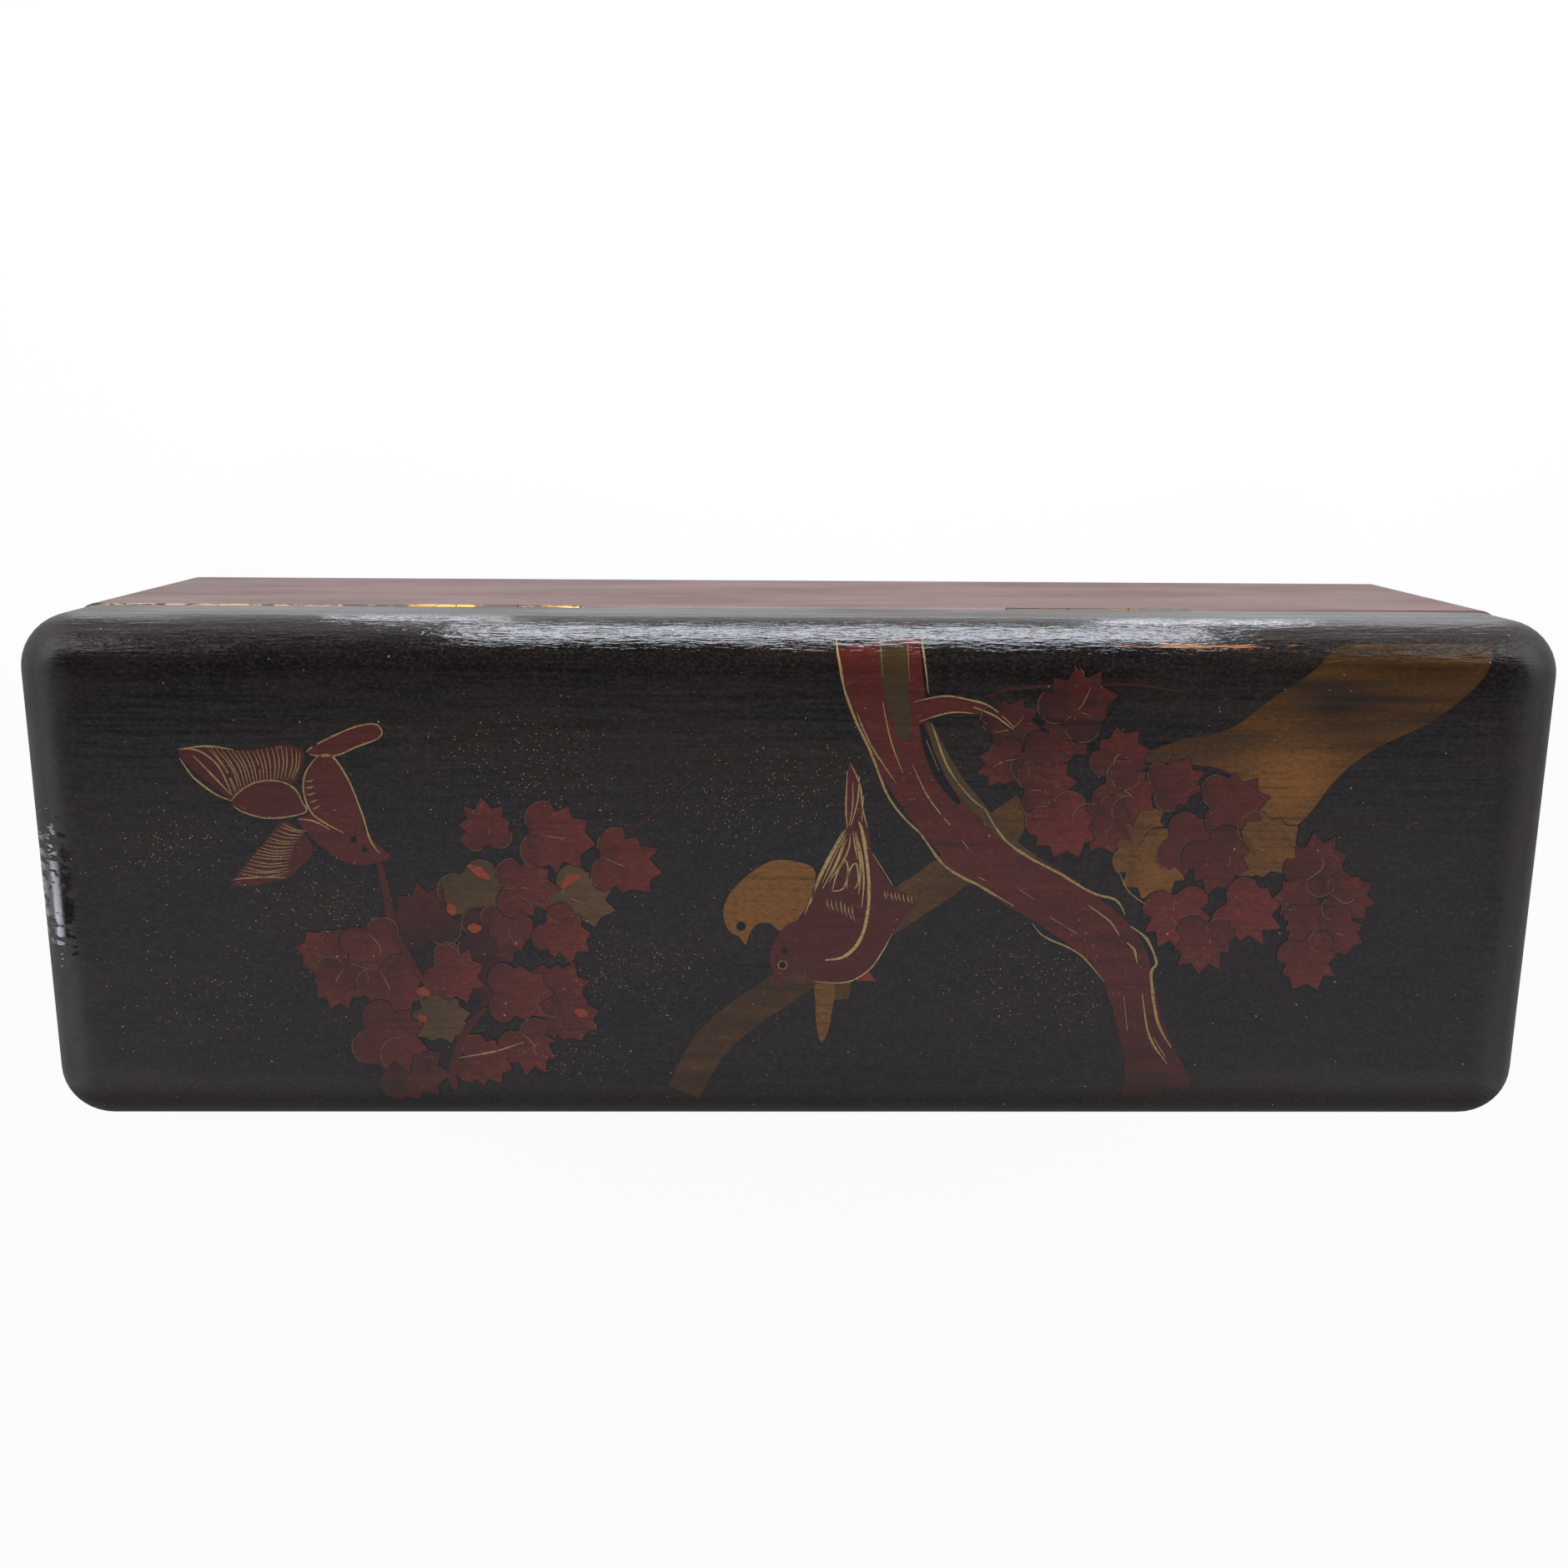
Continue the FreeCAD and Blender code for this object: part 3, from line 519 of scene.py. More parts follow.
def painted_lacquer(name, deep, bright, worn):
    """Coloured lacquer, brushed thin over the black and rubbed down with it: flecked, streaky colour."""
    material, tree = new_material(name)
    coat = brushed_coat(tree, "X", gloss=0.17, wear=0.08)
    handled_edges(tree, coat)
    tone = add(tree, "Attribute", attribute_name="tone").outputs["Fac"]
    colour = add(tree, "Mix", {0: tone, 6: linear(deep), 7: linear(bright)}, data_type="RGBA")
    stipple = drawn_noise(tree, coat["place"], (1.3, 0.6, 0.6), 4.0, 0.65)
    flecks = add(tree, "MapRange", {0: stipple, 1: 0.56, 2: 0.74, 4: tone})
    pits = add(tree, "MapRange", {0: stipple, 1: 0.48, 2: 0.32, 4: 0.5})
    thin = add(tree, "MapRange", {0: coat["streak"], 1: 0.52, 2: 0.75, 4: 0.6})
    for mask, code in ((flecks, worn), (pits, deep), (thin, deep)):
        colour = add(tree, "Mix", {0: mask, 6: colour, 7: linear(code)}, data_type="RGBA")
    lacquer(tree, coat, colour, ior=1.45)
    return material


# Drawn several times as coarse as the real thing, so that they show: grains of gold, scratches in brass.
GOLD_GRAIN = 0.35
BRASS_SCRATCH = (6, 0.25, 0.25)


def gold_powder():
    """Gold powder laid on wet lacquer and rubbed: grains of warm metal with dark between them."""
    material, tree = new_material("gold_powder_sprinkled")
    coat = brushed_coat(tree, "X", gloss=0.38, wear=0.12)
    tone = add(tree, "Attribute", attribute_name="tone").outputs["Fac"]
    full = add(tree, "Mix", {0: tone, 6: linear("#4A3420"), 7: linear("#B09462")}, data_type="RGBA")
    grains = add(tree, "TexVoronoi", {"Vector": coat["place"], "Scale": per_metre(GOLD_GRAIN)[0]})
    bare = add(tree, "MapRange", {0: grains.outputs["Color"], 1: 0.5, 2: 0.0, 4: 0.7})
    colour = add(tree, "Mix", {0: bare, 6: full, 7: linear("#3A2A1A")}, data_type="RGBA")
    shader = add(tree, "BsdfPrincipled", {
        "Base Color": colour, "Roughness": coat["rough"], "Normal": coat["bump"], "Metallic": 0.3})
    add(tree, "OutputMaterial", {"Surface": shader})
    return material


def old_brass():
    """Sheet brass, rolled and filed: tarnished brown, most on the right, with two spots rubbed bright."""
    stain_size = 7
    rubbed_places = (-66, -43)
    material, tree = new_material("sheet_brass_tarnished")
    place = add(tree, "TexCoord").outputs["Object"]
    stain = add(tree, "TexNoise", {"Vector": place, "Scale": per_metre(stain_size)[0], "Detail": 5.0})
    stained = add(tree, "MapRange", {0: stain, 1: 0.66, 2: 0.56})
    side = add(tree, "SeparateXYZ", {0: place}).outputs["X"]
    tarnished = add(tree, "MapRange", {0: side, **between((-20, 20)), 4: 0.9})
    stained = add(tree, "Math", {0: stained, 1: tarnished}, operation="MAXIMUM")
    for x in rubbed_places:
        rubbed = flaked(tree, place, centre=(x, 50, SEAM_HEIGHT), half=(4.5, 6, 3), grain=(2, 1, 1))
        stained = add(tree, "Math", {0: stained, 1: rubbed}, operation="SUBTRACT", use_clamp=True)
    scratch = drawn_noise(tree, place, BRASS_SCRATCH, 3.0)
    bump = add(tree, "Bump", {"Height": scratch, "Distance": 0.01 * MM})
    colour = add(tree, "Mix", {0: stained, 6: linear("#C48E46"), 7: linear("#4A4038")}, data_type="RGBA")
    rough = add(tree, "MapRange", {0: stain, 1: 0.35, 2: 0.65, 3: 0.28, 4: 0.55})
    shader = add(tree, "BsdfPrincipled", {
        "Base Color": colour, "Roughness": rough, "Normal": bump, "Metallic": 1.0})
    add(tree, "OutputMaterial", {"Surface": shader})
    return material


def split_bamboo():
    """Split bamboo, whittled: pale straw colour with dark fibre ends."""
    fibre_size = 0.3
    material, tree = new_material("bamboo_split_and_whittled")
    place = add(tree, "TexCoord").outputs["Object"]
    fibres = add(tree, "TexVoronoi", {"Vector": place, "Scale": per_metre(fibre_size)[0]})
    fibre = add(tree, "MapRange", {0: fibres.outputs["Distance"], 1: 0.1, 2: 0.5})
    bump = add(tree, "Bump", {"Height": fibre, "Distance": 0.02 * MM})
    colour = add(tree, "Mix", {0: fibre, 6: linear("#6E5128"), 7: linear("#B08C52")}, data_type="RGBA")
    shader = add(tree, "BsdfPrincipled", {"Base Color": colour, "Roughness": 0.65, "Normal": bump})
    add(tree, "OutputMaterial", {"Surface": shader})
    return material


lid_black = black_lid_lacquer()
rail_black = black_rail_lacquer()
body_red = {along: red_brown_body_lacquer(along) for along in "XY"}
red_paint = painted_lacquer("red_lacquer_painted", "#2C1412", "#5C231B", "#743426")
tan_paint = painted_lacquer("tan_lacquer_painted", "#1C140E", "#70471A", "#76542A")
olive_paint = painted_lacquer("olive_lacquer_painted", "#2A2416", "#563D26", "#664A30")
orange_paint = painted_lacquer("orange_lacquer_painted", "#5A2414", "#94402A", "#A0563A")
black_paint = painted_lacquer("black_lacquer_painted", "#0A0808", "#141010", "#1E1614")
gold = gold_powder()
brass = old_brass()
bamboo = split_bamboo()


# The boards, hinges and pegs of the CAD

FINISHES = {
    "front_wall": body_red["X"], "back_wall": body_red["X"], "bottom_board": body_red["X"],
    "left_end_wall": body_red["Y"], "right_end_wall": body_red["Y"],
    "lid_front_rail": rail_black, "lid_back_rail": rail_black,
    "lid_left_rail": rail_black, "lid_right_rail": rail_black,
    "corner_pegs": bamboo, "bottom_pegs": bamboo, "lid_pegs": bamboo,
}
for name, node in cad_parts.items():
    finish = FINISHES.get(name, brass if "hinge" in name else lid_black)
    node.data.materials.clear()
    node.data.materials.append(finish)


# The lid panel with its lacquer skin

def lid_outline(inset):
    """The lid's outline moved in by `inset`, point for point with the outline itself."""
    corner_x = LID_HALF_LENGTH - CORNER_RADIUS
    corner_y = LID_HALF_DEPTH - CORNER_RADIUS
    turns = round(CORNER_RADIUS * math.pi / 2 / SKIN_GRID)
    reach = CORNER_RADIUS - inset
    points = []
    for quarter, (sx, sy) in enumerate(((1, -1), (1, 1), (-1, 1), (-1, -1))):
        for turn in range(turns + 1):
            angle = math.pi / 2 * (quarter - 1 + turn / turns)
            points.append((sx * corner_x + reach * math.cos(angle), sy * corner_y + reach * math.sin(angle)))
        side = 2 * (corner_x if quarter % 2 else corner_y)
        pieces = round(side / SKIN_GRID)
        start_x, start_y = points[-1]
        way_x, way_y = ((0, 1), (-1, 0), (0, -1), (1, 0))[quarter]
        for piece in range(1, pieces):
            run = side * piece / pieces
            points.append((start_x + way_x * run, start_y + way_y * run))
    return points


def lid_panel_skin():
    """The lid panel: quarter-round edge in rings, hand-brushed swell, flat underside."""
    clear = 1.0
    panel = bmesh.new()
    rings = []
    for bend in range(EDGE_BENDS + 1):
        rings.append(lid_outline(EDGE_RADIUS * (1 - math.cos(math.pi / 2 * bend / EDGE_BENDS))))
    count = len(rings[0])
    foot = [panel.verts.new(Vector((x, y, LID_UNDERSIDE)) * MM) for x, y in rings[0]]
    rows = [foot] + [[panel.verts.new(skin_point(x, y, 0)) for x, y in ring] for ring in rings]
    for low, high in zip(rows, rows[1:]):
        for i in range(count):
            j = (i + 1) % count
            panel.faces.new((low[i], low[j], high[j], high[i])).smooth = True
    panel.faces.new(foot[::-1])
    plan = [Vector(point) for point in rings[-1]]
    grid_x = math.floor((LID_HALF_LENGTH - EDGE_RADIUS - clear) / FILM_GRID)
    grid_y = math.floor((LID_HALF_DEPTH - EDGE_RADIUS - clear) / FILM_GRID)
    for column in range(-grid_x, grid_x + 1):
        for row in range(-grid_y, grid_y + 1):
            plan.append(Vector((column * FILM_GRID, row * FILM_GRID)))
    loop = [(i, (i + 1) % count) for i in range(count)]
    places, _, faces, origins, *_ = geometry.delaunay_2d_cdt(plan, loop, [], 1, 1e-5)
    top = []
    for place, origin in zip(places, origins):
        on_ring = [i for i in origin if i < count]
        top.append(rows[-1][on_ring[0]] if on_ring else panel.verts.new(skin_point(place.x, place.y, 0)))
    for face in faces:
        panel.faces.new([top[i] for i in face]).smooth = True
    return panel


lid_piece = finish_piece("lid_panel_lacquered", lid_panel_skin(), lid_black)
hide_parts("lid_panel")


# The ornament: a traditional branch of maple with birds, in plan on the lid, laid out as in the photograph

# Leaves as (x, y, size, direction of the tip in degrees, tone from dark to bright).
LEFT_SPRAY = (
    (-74, -38, 13, -5, 0.2), (-70, -7, 12.5, 100, 0.15), (-58, -11, 12, -10, 0.15),
    (-58, -20, 10, -30, 0.1), (-58, 11, 9.5, 95, 0.55), (-45, 9, 13, -10, 0.7),
    (-32, 4, 12.5, -15, 0.7), (-54, -8, 10, -70, 0.5), (-51, -1, 11.5, 0, 0.65),
    (-44, -10, 10.5, -35, 0.75), (-89, -14, 10.5, 170, 0.5), (-87, -20, 10, -110, 0.45),
    (-80, -13, 11.5, -70, 0.6), (-77, -21, 12, -60, 0.55), (-65, -18, 11, -25, 0.7),
    (-45, -21, 10.5, 15, 0.55), (-43, -27, 10, -25, 0.5), (-53, -22, 12, 0, 0.65),
    (-78, -31, 13.5, -20, 0.5), (-51, -33, 10.5, -60, 0.65), (-60, -36, 10, -15, 0.65),
)
RIGHT_SPRAY = (
    (40, 31, 10, 30, 0.2), (51, 29, 9, -90, 0.3), (39, 23.5, 9, -160, 0.4), (46, 24, 10, -30, 0.3),
    (52.5, 35, 13, 55, 0.2), (61, 24.5, 10.5, 60, 0.45), (47, 19, 10.5, 10, 0.45), (62, 18, 11, -30, 0.5),
    (71.5, 20, 10, 20, 0.45), (58.5, 12, 10.5, -70, 0.45), (50.5, 11.5, 12, -60, 0.8),
    (75, 8, 11.5, -20, 0.6), (82.5, 16, 12, 10, 0.5), (80.5, 5, 12, -60, 0.45), (73.5, -6.5, 12.5, -80, 0.9),
    (87, -5.5, 12.5, -25, 0.9), (79, -11.5, 11, -95, 0.6), (99.5, 4, 11, 60, 0.4), (97, -2.5, 9, 180, 0.45),
    (106, -2.5, 9.5, -10, 0.5), (98.5, -8, 9, -90, 0.5), (104.5, -9.5, 9.5, -20, 0.5),
    (99.5, -15, 11, -70, 0.65),
)
OLIVE_LEAVES = ((-60.5, -2, 12, -60, 0.5), (-40.5, -3, 12, -20, 0.8), (-68, -27, 11, -30, 0.6))
TAN_LEAVES = ((64.5, 11.5, 11, -10, 0.5), (68, 4, 13, -60, 0.75), (89.5, 7.5, 13, -10, 0.65))
ORANGE_FLECKS = (
    ((-61.5, 3.5), (-59.5, 2.2), (-57.5, 0.8)), ((-44, -1), (-42.5, 0.8), (-40.3, 1.6)),
    ((-65.3, -4), (-65, -5.2), (-64.6, -6.4)), ((-62, -8.6), (-60.8, -9), (-59.4, -8.8)),
    ((-72.2, -22), (-71, -21.6), (-69.8, -22.4)), ((-72, -26.5), (-71.5, -27.2), (-70.6, -27.8)),
    ((-42, -25.4), (-41, -26), (-39.6, -26.4)),
)

# One half of a leaf, as shares of its size: a round lobe at the stalk, then teeth and notches as
# (degrees from the tip, reach from the middle), each a little astray.
LOBE_CENTRE = (-0.20, 0.24)
LOBE_RADIUS = 0.27
LOBE_TURNS = range(230, 60, -25)
TEETH = ((98, 0.42), (78, 0.50), (62, 0.40), (40, 0.56), (21, 0.42))
TIP = 0.59
TOOTH_TURN = 5
TOOTH_REACH = (-0.05, 0.04)
RIM_GROWTH = 1.035

# A leaf's tone grows towards its tip, and is mottled in patches of a length and a width.
TIP_BRIGHTNESS = 0.40
MOTTLE = 0.35
MOTTLE_SIZE = (3.0, 2.0)

# Chances of gold lines round a lobe, inside the teeth and down the stalk, and where those lie.
LOBE_CHANCE = 0.5
TEETH_CHANCE = 0.45
STALK_CHANCE = 0.4
INNER_SHARE = 0.72
STALK_FOOT = 0.32
STALK_REACH = (0.05, 0.3)
STALK_BEND = 0.12
FEATHER_BOW = (0.04, 0.09)

draw = random.Random(17)
reds, tans, olives, oranges, blacks, lines = (new_film() for _ in range(6))


def gold_line(points, half, tone, gaps, ragged=0.0):
    """A gold line through plan points, drawn out thin at both ends and broken off here and there."""
    lay_stroke(lines, tapered(points, half), LINE_LIFT, tone, ragged, gaps)


def leaf_outline(x, y, size, turn):
    """A maple leaf as it is painted here: two round lobes at the stalk, pointed teeth at the tip."""
    halves = []
    for side in (1, -1):
        half = []
        for angle in LOBE_TURNS:
            across = LOBE_CENTRE[1] + LOBE_RADIUS * math.sin(math.radians(angle))
            half.append((LOBE_CENTRE[0] + LOBE_RADIUS * math.cos(math.radians(angle)), side * across))
        for angle, reach in TEETH:
            angle = math.radians(angle + draw.uniform(-TOOTH_TURN, TOOTH_TURN))
            reach += draw.uniform(*TOOTH_REACH)
            half.append((reach * math.cos(angle), side * reach * math.sin(angle)))
        halves.append(half)
    shares = halves[0] + [(TIP, 0.0)] + halves[1][::-1]
    cos, sin = math.cos(math.radians(turn)), math.sin(math.radians(turn))
    return [(x + size * (u * cos - v * sin), y + size * (u * sin + v * cos)) for u, v in shares][::-1]


def lay_leaves(film, leaves, lift):
    """Leaves one over the other, each with a dark rim under it and some with fine gold lines."""
    lobe_points = len(LOBE_TURNS)
    for number, (x, y, size, turn, tone) in enumerate(leaves):
        outline = leaf_outline(x, y, size, turn)
        cos, sin = math.cos(math.radians(turn)), math.sin(math.radians(turn))
        level = lift + 2 * number * LEAF_STEP

        def shade(px, py):
            along = ((px - x) * cos + (py - y) * sin) / size
            mottle = noise.noise(Vector((px / MOTTLE_SIZE[0], py / MOTTLE_SIZE[1], number)))
            return tone + TIP_BRIGHTNESS * along + MOTTLE * mottle

        def resized(share):
            return [(x + (px - x) * share, y + (py - y) * share) for px, py in outline]

        lay_outline(blacks, resized(RIM_GROWTH), level, 0.4)
        lay_outline(film, outline, level + LEAF_STEP, shade)
        for lobe in (outline[-lobe_points:], outline[:lobe_points]):
            if draw.random() < LOBE_CHANCE:
                gold_line(curve_through(lobe, FINE_STEP), 0.065, 0.2, gaps=-0.25)
        if draw.random() < TEETH_CHANCE:
            teeth = resized(INNER_SHARE)[lobe_points + 1:-lobe_points - 1]
            for start, end in zip(teeth, teeth[1:]):
                gold_line([start, end], 0.07, 0.3, gaps=-0.1)
        if draw.random() < STALK_CHANCE:
            foot = STALK_FOOT * size
            reach = draw.uniform(*STALK_REACH) * size
            bend = draw.uniform(-STALK_BEND, STALK_BEND) * size
            stalk = [(x - foot * cos, y - foot * sin), (x - bend * sin, y + bend * cos)]
            stalk.append((x + reach * cos, y + reach * sin))
            gold_line(stalk, 0.09, 0.35, gaps=-0.2)


def hatch(starts, ends, count, half):
    """Feather strokes in gold between two edges, each bowed a little."""
    start_run, end_run = curve_through(starts, FINE_STEP), curve_through(ends, FINE_STEP)
    for number in range(count):
        share = (number + 0.5) / count
        (ax, ay), (bx, by) = along_curve(start_run, share), along_curve(end_run, share)
        bow = draw.uniform(*FEATHER_BOW)
        middle = ((ax + bx) / 2 + (by - ay) * bow, (ay + by) / 2 - (bx - ax) * bow)
        gold_line([(ax, ay), middle, (bx, by)], half, 0.6, gaps=-0.6)


# Tan boughs: one from the front edge up behind the birds, and a wide one from the back right corner.
# Both are rubbed thin, and the wide one is brightest near the leaves.
FRONT_BOUGH = [(-21.2, -42.6, 3.3), (-16.2, -33, 3.5), (-9.4, -26.2, 3.4), (0, -19.6, 3.4), (10, -12, 3.6),
               (21, -4.2, 3.8), (28.4, 1.2, 3.9), (37, 8, 3.8), (40.5, 12.5, 3.4), (43, 16.5, 1.6)]
WIDE_BOUGH = [(101.5, 45.8), (97.5, 42.8), (95, 40.5), (88.5, 36), (83, 31.5), (79, 29.6), (71.5, 28),
              (64, 24.4), (72, 23.6), (80, 22.5), (86, 18), (88, 12), (93, 9.5), (95, 11.5), (98, 15),
              (100.5, 19), (104, 23), (109.5, 27), (119, 32), (126, 38), (129, 43), (128, 45.8),
              (115, 46.2)]


def rubbed_bough(x, y):
    """Tone of the bough behind the birds, fainter towards the front."""
    return 0.36 + 0.004 * y + 0.18 * noise.noise(Vector((x / 16, y / 2.2, 1.5)))


def rubbed_wide_bough(x, y):
    """Tone of the wide bough: bright near the leaves, faint beyond, and rubbed nearly bare in one patch."""
    glow_x, glow_y, glow_reach = 94, 18.5, 10
    bare_x, bare_y, bare_length, bare_width = 100, 33.5, 7, 4.5
    near_leaves = math.exp(-((x - glow_x) ** 2 + (y - glow_y) ** 2) / glow_reach ** 2)
    bare = math.exp(-((x - bare_x) / bare_length) ** 2 - ((y - bare_y) / bare_width) ** 2)
    streaks = noise.noise(Vector((x / 24, y / 1.8, 4.5)))
    return 0.25 + 0.78 * near_leaves - 0.24 * bare + 0.24 * streaks


lay_stroke(tans, FRONT_BOUGH, BOUGH_LIFT, rubbed_bough, ragged=0.05)
lay_outline(tans, loop_through(WIDE_BOUGH), BOUGH_LIFT, rubbed_wide_bough)

# Red branch from the back edge to the front, its twigs, and stems as (points, tone).
BRANCH = [(15.1, 46.2, 7.7), (16.3, 38, 7.4), (18.3, 31, 6.5), (21, 24, 5.7), (28, 14, 5.5),
          (37.5, 4.7, 5.7), (52, -4.7, 5.4), (62, -13, 5.2), (65.5, -21, 4.5), (67.5, -28, 4.4),
          (70, -35, 5.1), (71.8, -42.4, 7.0)]
TWIG = [(17, 33.2, 2.2), (22, 33.2, 2), (28, 34.6, 1.6), (33, 34.2, 1.3), (37, 33.2, 0.9), (41, 30, 0.3)]
ARCHED_TWIG = [(35.5, 36, 0.2), (41, 37.8, 0.35), (56, 38.5, 0.3), (64, 38.4, 0.25), (73, 37, 0.12)]
STEMS = (
    ([(-78.2, 4, 0.6), (-77, -2.4, 0.8), (-75.8, -10, 0.8), (-71, -19.6, 0.6)], 0.35),
    ([(-59, -25, 0.4), (-63, -29.5, 0.8), (-66, -38, 0.9), (-65.5, -42, 0.6)], 0.35),
    ([(-31, 10, 0.6), (-25, 15, 0.35), (-18, 21, 0.2), (-6.5, 28, 0.12)], 0.05),
    ([(82.2, -13.7, 0.2), (93.7, -20, 0.16), (102.5, -25.3, 0.12)], 0.05),
)


def rubbed_branch(x, y):
    """Tone of the red branch, darker towards its foot at the front edge."""
    return min(0.5, 0.5 + 0.02 * (y + 22)) + 0.22 * noise.noise(Vector((x / 12, y / 2.0, 8.5)))


lay_stroke(reds, BRANCH, BRANCH_LIFT, rubbed_branch, ragged=0.03)
lay_stroke(reds, TWIG, BRANCH_LIFT + LEAF_STEP, 0.55, ragged=0.05)
lay_stroke(reds, ARCHED_TWIG, BRANCH_LIFT, 0.15)
for stem, tone in STEMS:
    lay_stroke(reds, stem, LINE_LIFT - LEAF_STEP, tone, ragged=0.1)

# Olive bark on the branch: a band at its head, and a strip along its right side with a dark hollow.
BARK_BAND = [(15.4, 45.6), (20.4, 45.6), (20.8, 38), (21.6, 31), (20.6, 27.5), (18.6, 30), (16.4, 37)]
BARK_HOLLOW = [(23.4, 31, 0.4), (25, 26, 0.9), (27.5, 20.5, 0.9), (31, 15.8, 0.4)]
BARK_STRIP = [(24.8, 31.2, 0.5), (27, 26, 1.1), (30.4, 20, 1.3), (35, 14.6, 1.2), (40, 9.4, 0.9),
              (46, 5, 0.3)]
lay_outline(olives, loop_through(BARK_BAND), BAND_LIFT, 0.25)
lay_stroke(blacks, BARK_HOLLOW, BAND_LIFT, 0.5, ragged=0.2)
lay_stroke(olives, BARK_STRIP, BAND_LIFT + LEAF_STEP, 0.45, ragged=0.15)

# Flying bird: its parts as (outline, tone) from the lowest up, and the gold lines on it.
FLYER_BODY = [(-88.8, 24.3), (-86, 24.5), (-83, 20), (-81.3, 14), (-80.3, 9.6), (-76, 5.2), (-78.3, 4),
              (-81.5, 3.4), (-85.5, 4.5), (-89.5, 7.7), (-93, 12.2), (-90.5, 13.5), (-91.5, 17.5),
              (-91, 21)]
FLYER_TAIL = [(-90.6, 25.2), (-87.5, 27.2), (-83.3, 29.2), (-79.6, 30.4), (-77.2, 30.4), (-76.4, 29.2),
              (-77.2, 27.8), (-81.4, 26.1), (-85, 24.6), (-88.5, 24.5)]
UPPER_WING = [(-114.2, 25.7), (-109, 26.1), (-103.7, 25.5), (-99, 25.7), (-93.6, 26.6), (-91, 25),
              (-91.5, 22.4), (-93.4, 19), (-96, 19.5), (-101, 18.8), (-104.6, 16), (-108.2, 18.7),
              (-111.8, 21.7)]
WING_COVERT = [(-104.9, 16), (-101, 19.1), (-96.2, 19.7), (-93, 18), (-91.8, 15.4), (-91.2, 13.8),
               (-95.2, 12.7), (-99.4, 12.6), (-103.6, 14)]
LOWER_WING = [(-95.9, 12), (-99.2, 8), (-101.8, 5.2), (-105.6, 0.5), (-104, -0.8), (-95.6, 0.8),
              (-93.5, 2.7), (-90.5, 5.8), (-91, 8.3), (-93.8, 11.1)]
FLYER = ((UPPER_WING, 0.35), (LOWER_WING, 0.4), (FLYER_TAIL, 0.5), (FLYER_BODY, 0.5), (WING_COVERT, 0.4))
FLYER_LINES = (
    [(-88.8, 24.2), (-91, 21.1), (-91.5, 17.5), (-90.4, 13.8), (-88, 11.7), (-84.5, 9.7)],
    [(-88.8, 24.2), (-86, 24.5), (-83.1, 19.9), (-81, 13.8), (-79.6, 8.3), (-78, 5.8)],
    [(-114, 25.6), (-110.5, 25.4), (-107, 22.5), (-104.8, 17)],
    [(-114, 24), (-111.8, 20.4), (-108, 17.2), (-104.9, 15.8)],
    [(-111.5, 24.5), (-108, 20.5), (-105, 17)],
    [(-114.2, 25.6), (-109, 26.2), (-104, 25.6)],
    [(-93, 12.4), (-90, 12), (-87, 10.4)],
    [(-105.6, 0.6), (-101, 1), (-95.8, 1)],
)
for number, (shape, tone) in enumerate(FLYER):
    lay_outline(reds, loop_through(shape), BIRD_LIFT + number * LEAF_STEP, tone)
for shape in (WING_COVERT, FLYER_TAIL):
    gold_line(loop_through(shape), 0.13, 0.6, gaps=-0.5, ragged=0.6)
for stroke in FLYER_LINES:
    gold_line(stroke, 0.15, 0.7, gaps=-0.7, ragged=0.4)
hatch([(-93.2, 19.8), (-96.2, 20), (-101, 19.2), (-104.3, 17)],
      [(-91.4, 25.1), (-95, 26.3), (-99, 25.7), (-103.7, 25.5), (-109, 26)], count=20, half=0.10)
hatch([(-95.6, 11.7), (-99.2, 8), (-101.8, 5.2), (-104.4, 1.6)],
      [(-91.3, 10.2), (-93.6, 7.7), (-94.9, 4.6), (-95.8, 1.6)], count=16, half=0.10)
hatch([(-91, 20), (-91, 17), (-89.8, 13.8)],
      [(-89.6, 20.3), (-89.4, 17.4), (-88.6, 14.6)], count=5, half=0.14)

# Perched bird with its tan companion behind it; its gold lines as (points, half width before rubbing).
COMPANION = [(-13.4, -5.3), (-11.8, -1.5), (-8.1, 2.2), (-3.9, 4.6), (0.3, 4.4), (3.6, 3.2), (4, 0.3),
             (1.6, -6), (-2.1, -9.4), (-4.5, -7.8), (-7, -8.1), (-8.5, -10.3), (-9.1, -12.2),
             (-10.3, -10.6), (-12.4, -9.2)]
LEG = [(4.4, -20), (4.4, -24), (4.7, -29), (5.6, -32), (6.8, -30), (7.6, -26), (8, -20)]
PERCHED = [(2.1, -6), (4, -0.2), (6.4, 4.1), (9.6, 11), (9.3, 14.7), (10.2, 23.6), (12.4, 19.7), (13, 14.7),
           (14, 11), (14.9, 6), (18.5, 0), (22.8, -2.8), (22.2, -5.3), (18.6, -10.4), (16.3, -15.6),
           (13.3, -18.5), (9.6, -19.8), (4.7, -19.5), (-0.2, -17.8), (-3, -21), (-3.8, -17.5), (-4.6, -15),
           (-3.8, -12), (-1.7, -8.5)]
